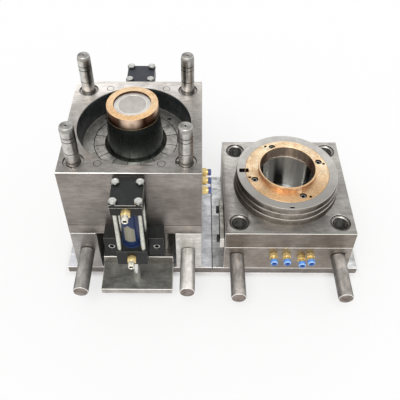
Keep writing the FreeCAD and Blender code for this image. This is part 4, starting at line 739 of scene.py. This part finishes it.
def groove_faces(centre, normal):
    return 1 if centre.z < 357.6 and math.hypot(centre.x, centre.y) > 110.6 else 0


dressed("core_plate", [plate_side, plate_top, recess_wall_shade, relief_floor, relief_wall_shade],
        [top_edge_highlight, faint_edge_highlight, soft_joint_and_shade], 1.3, core_plate_faces, core_plate_edges, near_pin)
dressed("support_plate", [support_side], [faint_edge_highlight, soft_joint_and_shade], 0.7, None,
        lambda centre: int(centre.z > 217))
dressed("left_spacer", [spacer_left_steel], [edge_highlight], 0.9)
dressed("right_spacer", [spacer_right_lit_steel], [edge_highlight], 0.9)
dressed("core_clamp_plate", [clamp_side, clamp_top, dark_joint_and_shade], [edge_highlight], 1.2, clamp_faces,
        keep=in_gap)
dressed("ejector_base_plate", [ejector_face, ejector_steel], [edge_highlight], 1.2, side_or_top)
dressed("ejector_retainer_plate", [ejector_face, retainer_steel], [edge_highlight], 1.2, side_or_top)
dressed("wear_ring", [recess_floor, dark_joint_and_shade], [recess_floor, dark_joint_and_shade], 0.9, groove_faces,
        lambda centre: 1 if math.hypot(centre.x, centre.y) < 112 else 0)
for number in range(1, 9):
    dressed(f"segment_{number}", [segment_steel], [dark_joint_and_shade], 0.8)

# Core half: core, tip, valve, pillars, pins and bars

piece("core_body.finished", placed(turning([
    (45, 0), (73.5, 0), (74, 0.5), (74, 58), (73.6, 62), (66.93, 155), (40, 155), (40, 162),
    (8.1, 162), (8.1, 130), (45, 130)], 128, closed=True), z=300), [core_steel], "core_half", ["core_body"])
# The tip's lowest row and the rounded edges of its upper face take the light lip finish: painted highlight
# lines.
piece("core_tip.finished", placed(turning([
    (40, 0), (66.93, 0, 2), (66.87, 0.9), (64.9, 31.0, 2), (64.5, 31.7, 2), (63.9, 32, 1), (48.1, 32, 2),
    (47.5, 31.8, 3), (47.3, 31.2, 3), (47.3, 22, 3), (40, 14.7)], 128, closed=True), z=455),
    [copper_side, copper_top, copper_lip_highlight, copper_shade], "core_half", ["core_tip"])
# The groove in the valve's head takes the bright ring finish: a painted highlight.
piece("air_valve.finished", placed(turning([
    (0, 0), (7.4, 0), (8, 0.6), (8, 74), (39, 74), (47, 82, 1), (47, 86.6, 1), (46.4, 87, 1),
    (37, 87, 2), (36.7, 86.1, 2), (35.3, 86.1, 2), (35, 87), (0, 87)], 96), z=395),
    [valve_steel, valve_rim, valve_ring_highlight], "air_valve", ["air_valve"])

pillar_rows = [(0, 0), (21, 0), (21, 8), (17.5, 8)]
for drop in (80, 42, 30):
    pillar_rows += [(17.5, 316.2 - drop, 1), (16.9, 316.4 - drop, 1), (16.9, 318.1 - drop, 1),
                    (17.5, 318.3 - drop)]
pillar_rows += [(17.5, 306.4, 2), (16.2, 314.6, 3), (15.0, 316.1, 3), (14.2, 316.5, 2), (2.7, 316.5, 1),
                (0, 312)]
repeated("guide_pillars.finished", turning(pillar_rows, 72),
         [pillar_steel, dark_joint_and_shade, pillar_nose, rim_highlight],
         [((x * PILLAR_AT, y * PILLAR_AT, 218), UPRIGHT) for x, y in CORNERS],
         "core_half", ["guide_pillars"])

repeated("return_pins.finished", turning([
    (0, 0), (14, 0), (14, 6), (10, 6), (10, 367.0, 1), (8.7, 368), (0, 368)], 48), [plate_top, dark_joint_and_shade],
    [((x * PIN_AT[0], y * PIN_AT[1], 50), UPRIGHT) for x, y in CORNERS], "ejector", ["return_pins"])


def support_bar(length):
    tip = 15 + length
    # The shoulder against the spacer is near black as painted shade, and the chamfer at the end takes the
    # edge highlight.
    return turning([(0, 0), (12, 0), (12, 15), (19.2, 15, 3), (19.2, 16.4, 3), (20, 16.8), (20, tip - 2.2),
                    (19.6, tip - 1.1, 2), (18.4, tip - 0.1, 1), (18, tip, 1), (0, tip, 1)], 72)


for name, length, height, xs, body, steel in (
        ("core_support_bars", 128, 103, (-138, 138), "core_half", core_bar),
        ("cavity_support_bars", 130, 80, (CAVITY_X - 140, CAVITY_X + 140), "cavity_half", cavity_bar)):
    repeated(name + ".finished", support_bar(length), [steel, bar_end, edge_highlight, dark_joint_and_shade],
             [((x, -160, height), FRONTWARD) for x in xs], body, [name])

# Ejector cylinders


def on_barrel_seat(centre):
    return 226.2 < centre.z < 229 and math.hypot(centre.x, abs(centre.y) - CYLINDER_Y) < 28


def cap_faces(centre, normal):
    return 2 if on_barrel_seat(centre) else 1 if normal.z > 0.9 else 0


for end in ("front", "rear"):
    middle, cap_top = (-CYLINDER_Y, cap_top_black) if end == "front" else (CYLINDER_Y, cap_top_lit)
    # Tops take the lighter cap-top paint as painted light, and edges take the lighter edge finishes as
    # painted highlights.
    for name, edge in (("head_cap", black_edge_highlight), ("base_cap", dim_black_highlight), ("bracket", black_edge_highlight),
                       ("saddle", dim_black_highlight)):
        dressed(f"{end}_{name}", [black_oxide, cap_top, blue_cap_seat], [edge, blue_cap_seat], 0.7,
                cap_faces, lambda centre: int(on_barrel_seat(centre)))
    piece(f"{end}_barrel.finished", placed(turning([
        (19, 0), (23, 0), (23, 143), (19, 143)], 96, closed=True), 0, middle, 226),
        [blue_paint], "core_half", [f"{end}_barrel"])
    piece(f"{end}_piston_rod.finished", placed(turning([
        (0, 0), (7.2, 0), (8, 0.8), (8, 36), (10.4, 36), (11, 36.6), (11, 222), (18.7, 222), (18.7, 242),
        (0, 242)], 72), 0, middle, 14), [chrome], "ejector", [f"{end}_piston_rod"])

tie_places = [((x * 29.5, side * CYLINDER_Y + y * 29.5, 406), UPRIGHT)
              for side in (-1, 1) for x, y in CORNERS]
# The head sides take the darker zinc and the crown the lighter one: painted shade round each head and a
# painted highlight on its crown. The near-black washer is a dark washer with painted shadow under the head.
repeated("tie_bolts.finished", hex_head(19, 8, 5.5, 200, (-139, -12, 5.1)),
         [zinc, zinc_rod, zinc_face, dark_joint_and_shade], tie_places, "core_half", ["tie_bolts"],
         spin=math.pi / 3, seed=4)
port_hex = hexagon(21)
for end, side, turn, reach in (("front", -1, FRONTWARD, 30), ("rear", 1, REARWARD, 17.5)):
    places = [((0, side * 263.5, level), turn) for level in (384, 202)]
    repeated(f"{end}_port_nuts", turning([
        (0, 0), (lambda a: port_hex(a) * 0.95, 0), (port_hex, 0.8), (port_hex, 12),
        (lambda a: port_hex(a) * 0.95, 13), (0, 13)], 60), [brass], places, "core_half",
        ["cylinder_ports"] if end == "front" else [])
    repeated(f"{end}_port_ends", turning([
        (0, 13), (8, 13), (8, 15), (7.2, 15.6), (7.2, 16.4), (8, 17), (8, reach - 1), (7.4, reach),
        (5.2, reach), (4.5, reach - 1, 1), (4.5, 14, 1), (0, 14)], 48), [nickel, bore_shade], places,
        "core_half")
nut_hex = hexagon(24)
repeated("rod_nuts.finished", turning([
    (8, 0), (11.4, 0), (nut_hex, 0.9), (nut_hex, 12.1), (11.4, 13), (8, 13)], 60, closed=True), [zinc],
    [((0, side * CYLINDER_Y, 17), UPRIGHT) for side in (-1, 1)], "ejector", ["rod_nuts"])


def cylinder_screw_places(x, y, z):
    """Two screws to each cylinder, their heads turned away from the core plate."""
    return [((way * x, side * y, z), turn)
            for side, turn in ((-1, FRONTWARD), (1, REARWARD)) for way in (-1, 1)]


repeated("bracket_screws", socket_head(4, 27), [black_oxide, dim_black_highlight, bore_shade],
         cylinder_screw_places(22, 178, 326), "core_half", ["cylinder_screws"])
repeated("saddle_screws", socket_head(6, 52), [bolt_dark, zinc_face, bore_shade],
         cylinder_screw_places(58.5, 203, 182), "core_half")
repeated("wear_ring_screws", socket_head(3, 12), [black_oxide, dim_black_highlight, bore_shade],
         [((121 * math.cos(math.radians(a)), 121 * math.sin(math.radians(a)), 351), UPRIGHT)
          for a in (45, 135, 225, 315)], "core_half")

# Cavity half


def near_bush(centre):
    return math.hypot(abs(centre.x - CAVITY_X) - PILLAR_AT, abs(centre.y) - PILLAR_AT) < 29


def cavity_plate_faces(centre, normal):
    if centre.z > CAVITY_TOP + 0.5:
        # Inside the boss opening the faces take the near-black wall finish: painted shade.
        if math.hypot(centre.x - CAVITY_X, centre.y) < 138 and centre.z < BOSS_TOP - 0.1:
            return 5
        # Upward steps on the boss side take the light ledge finish: painted highlights.
        if normal.z > 0.9:
            return 2 if centre.z > BOSS_TOP - 1 else 4
        return 3
    # The bush pockets' walls and floors take dark finishes: painted shade.
    if near_bush(centre) and centre.z < CAVITY_TOP - 0.1:
        return 5 if abs(normal.z) < 0.5 else 6
    return 1 if normal.z > 0.9 else 0


def cavity_plate_edges(centre):
    # Edges near the bushes and on the boss take the light ledge finish as painted highlights.
    return 1 if near_bush(centre) or centre.z > CAVITY_TOP + 1 else 0


def rim_ring_faces(centre, normal):
    away = math.hypot(centre.x - CAVITY_X, centre.y)
    if abs(normal.z) < 0.5:
        return 1 if away < 78 else 3 if centre.z > BOSS_TOP else 2
    return 0 if centre.z > BOSS_TOP - 1 else 2


def rim_ring_edges(centre):
    return 0 if centre.z > 250 else 1


# The strap's front face is lighter as painted light, and its sides are near black as painted shade.
def strap_faces(centre, normal):
    return 1 if normal.y < -0.9 else 2 if abs(normal.x) > 0.9 else 0


dressed("cavity_clamp_plate", [clamp_side, cavity_ledge, dark_joint_and_shade], [edge_highlight], 1.2, clamp_faces,
        keep=in_gap)
dressed("cavity_back_plate", [cavity_back], [edge_highlight], 0.8)
dressed("cavity_plate", [cavity_side, cavity_top, boss_top, boss_side, boss_ledge_highlight, relief_wall_shade, soft_joint_and_shade],
        [edge_highlight, boss_ledge_highlight], 0.9, cavity_plate_faces, cavity_plate_edges)
dressed("rim_ring", [ring_copper, bore_copper, ring_groove, collar_copper], [copper_lip_highlight, ring_copper], 0.8,
        rim_ring_faces, rim_ring_edges)
piece("cavity_sleeve.finished", placed(turning([
    (67.1, 0), (90, 0), (90, 107.5), (74.78, 107.5)], 128, closed=True), CAVITY_X, 0, 112.5),
    [mirror_steel], "cavity_half", ["cavity_sleeve"])
dressed("gate_insert", [gate_steel], [gate_steel], 0.3)
dressed("sprue_bush", [gate_steel], [gate_steel], 0.3)
bush_places = [((CAVITY_X + x * PILLAR_AT, y * PILLAR_AT, 122), UPRIGHT) for x, y in CORNERS]
# Each bush mouth has a light rim as a painted highlight, and a near-black chamfer inside it as painted shade.
repeated("guide_bushes.finished", turning([
    (17.6, 0), (26, 0), (26, 6), (24, 6), (24, 58.5), (23.5, 59), (22.0, 59, 2), (20.4, 57.6, 3),
    (17.6, 56, 1)], 72, closed=True),
    [bush_steel, bush_bore, rim_highlight, relief_wall_shade], bush_places, "cavity_half", ["guide_bushes"])
rim_screws = [((CAVITY_X + 98 * math.cos(math.radians(a)), 98 * math.sin(math.radians(a)), 230), UPRIGHT)
              for a in (20, 110, 200, 290)]
repeated("rim_ring_screws.finished", socket_head(5, 40), [bolt_dark, screw_face, bore_shade], rim_screws,
         "cavity_half", ["rim_ring_screws"], spin=1.0)
# The strap's edges behind its front and on its left are near black: a painted shadow line against the ledge.
dressed("lock_strap", [strap_steel, strap_end_lit, dark_joint_and_shade], [edge_highlight, dark_joint_and_shade], 0.8, strap_faces,
        lambda centre: int(centre.y > -174 and centre.x < 226))
repeated("strap_bolts.finished", hex_head(19, 8, 6, 31.8),
         [bolt_dark, bolt_dark, dim_black_highlight, dark_joint_and_shade],
         [((224.2, y, 142), LEFTWARD) for y in (-159, -59)], "cavity_half", ["strap_bolts"],
         seed=2, spin=1.0)

# Water fittings

fitting_hex = hexagon(21)
fitting_sets = (
    ("core", [((175, y, 284), RIGHTWARD) for y in (-110, -76, -46)], 25, 9.0, [brass, navy_plastic]),
    ("cavity", [((CAVITY_X + x, -175, z), FRONTWARD)
                for x, z in ((-39.6, 92), (-3.6, 92), (38, 82), (62, 92))], 32, 10.0, [nickel, blue_plastic]))
for half, places, end, width, (neck, collar) in fitting_sets:
    start = end - 11 + (half == "core") * 3
    repeated(f"{half}_fittings.finished", turning([
        (4, -11), (6, -11), (6.5, -10.4), (6.5, 0), (lambda a: fitting_hex(a) * 0.94, 0),
        (fitting_hex, 0.8), (fitting_hex, 11), (lambda a: fitting_hex(a) * 0.94, 12), (8.2, 12), (8.2, 13.2),
        (9, 13.6), (9, 15.2), (8.4, 15.6, 1), (9, 16), (9, start - 0.4), (7.6, start, 2),
        (width - 0.4, start, 2), (width, start + 0.6, 2), (width, end - 2.4, 3), (width - 0.8, end - 0.8, 3),
        (width - 2, end, 4), (5.4, end, 4), (4.4, end - 1, 4), (4, end - 4, 4)], 60, closed=True),
        [brass, neck, collar, blue_ring if half == "cavity" else collar, throat], places,
        f"{half}_half", [f"{half}_fittings"])

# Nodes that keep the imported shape: those inside the mould or under it

for node, finish in (("cooling_insert", hidden_brass), ("core_bolts", black_oxide),
                     ("valve_nut", black_oxide), ("valve_spring", hidden_steel),
                     ("core_clamp_screws", black_oxide), ("stop_buttons", hidden_steel),
                     ("ejector_plate_screws", black_oxide), ("cavity_clamp_screws", black_oxide)):
    kept = frame["nodes"][node].data
    kept.materials.clear()
    kept.materials.append(finish.material)

# Floor, light and camera


def seen_share(tree, most):
    """Up to most where the camera, a mirror or clear plastic looks, and none for the light itself."""
    path = tree.nodes.new("ShaderNodeLightPath")
    seen = path.outputs["Is Camera Ray"]
    for way in ("Is Glossy Ray", "Is Transmission Ray"):
        either = tree.nodes.new("ShaderNodeMath")
        either.operation = "MAXIMUM"
        tree.links.new(seen, either.inputs[0])
        tree.links.new(path.outputs[way], either.inputs[1])
        seen = either.outputs[0]
    share = tree.nodes.new("ShaderNodeMath")
    share.operation = "MULTIPLY"
    share.inputs[1].default_value = most
    tree.links.new(seen, share.inputs[0])
    return share.outputs[0]


floor = bpy.data.objects.new("floor", bpy.data.meshes.new("floor"))
floor.data.from_pydata([(-6, -6, -0.0004), (6, -6, -0.0004), (6, 6, -0.0004), (-6, 6, -0.0004)], [],
                       [(0, 1, 2, 3)])
bpy.context.scene.collection.objects.link(floor)
floor_finish = Finish("floor_white", 0.0, 0.9)
floor_finish.set("Base Color", (0.98, 0.98, 0.98, 1.0)).set("Specular IOR Level", 0.0)
blank = floor_finish.add("Emission", [("Color", (1.0, 1.0, 1.0, 1.0)), ("Strength", 1.0)])[0]
x, y, _ = floor_finish.axes()
# No glow under the clamping plates: clear is how far a place lies outside their outline
middle_x, half_length, half_width = 0.2065, 0.4115, 0.175
along_x = floor_finish.sum("ABSOLUTE", floor_finish.sum("SUBTRACT", x, middle_x))
clear = floor_finish.sum("MAXIMUM", floor_finish.sum("SUBTRACT", along_x, half_length),
                         floor_finish.sum("SUBTRACT", floor_finish.sum("ABSOLUTE", y), half_width))
share = floor_finish.sum("MULTIPLY", seen_share(floor_finish.tree, 0.6),
                         floor_finish.ramp(clear, 0.0, 0.02))
both = floor_finish.add("MixShader", [(0, share), (1, floor_finish.shader.outputs[0]), (2, blank)])[0]
floor_finish.feed(floor_finish.tree.nodes["Material Output"].inputs["Surface"], both)
floor.data.materials.append(floor_finish.material)

world = bpy.data.worlds.new("studio")
bpy.context.scene.world = world
world.use_nodes = True
sky = world.node_tree
strength = sky.nodes.new("ShaderNodeMath")
strength.inputs[1].default_value = 0.66
sky.links.new(seen_share(sky, 0.34), strength.inputs[0])
sky.links.new(strength.outputs[0], sky.nodes["Background"].inputs["Strength"])
sky.nodes["Background"].inputs["Color"].default_value = (1.0, 1.0, 1.0, 1.0)

sun = bpy.data.objects.new("window_light", bpy.data.lights.new("window_light", "SUN"))
sun.data.energy = 1.3
sun.data.angle = math.radians(34)
sun.rotation_euler = Vector((-0.25, -1.0, 1.75)).to_track_quat("Z", "Y").to_euler()
bpy.context.scene.collection.objects.link(sun)

camera = bpy.data.objects.new("camera", bpy.data.cameras.new("camera"))
camera.location = (0.165012, -1.085385, 1.402922)
camera.rotation_euler = [math.radians(a) for a in (45.25889, 0.11223, 0.46178)]
camera.data.lens = 51.166
camera.data.shift_x = 0.014605
camera.data.shift_y = -0.12833
camera.data.clip_end = 30
bpy.context.scene.collection.objects.link(camera)
bpy.context.scene.camera = camera
bpy.context.scene.view_settings.view_transform = "Standard"
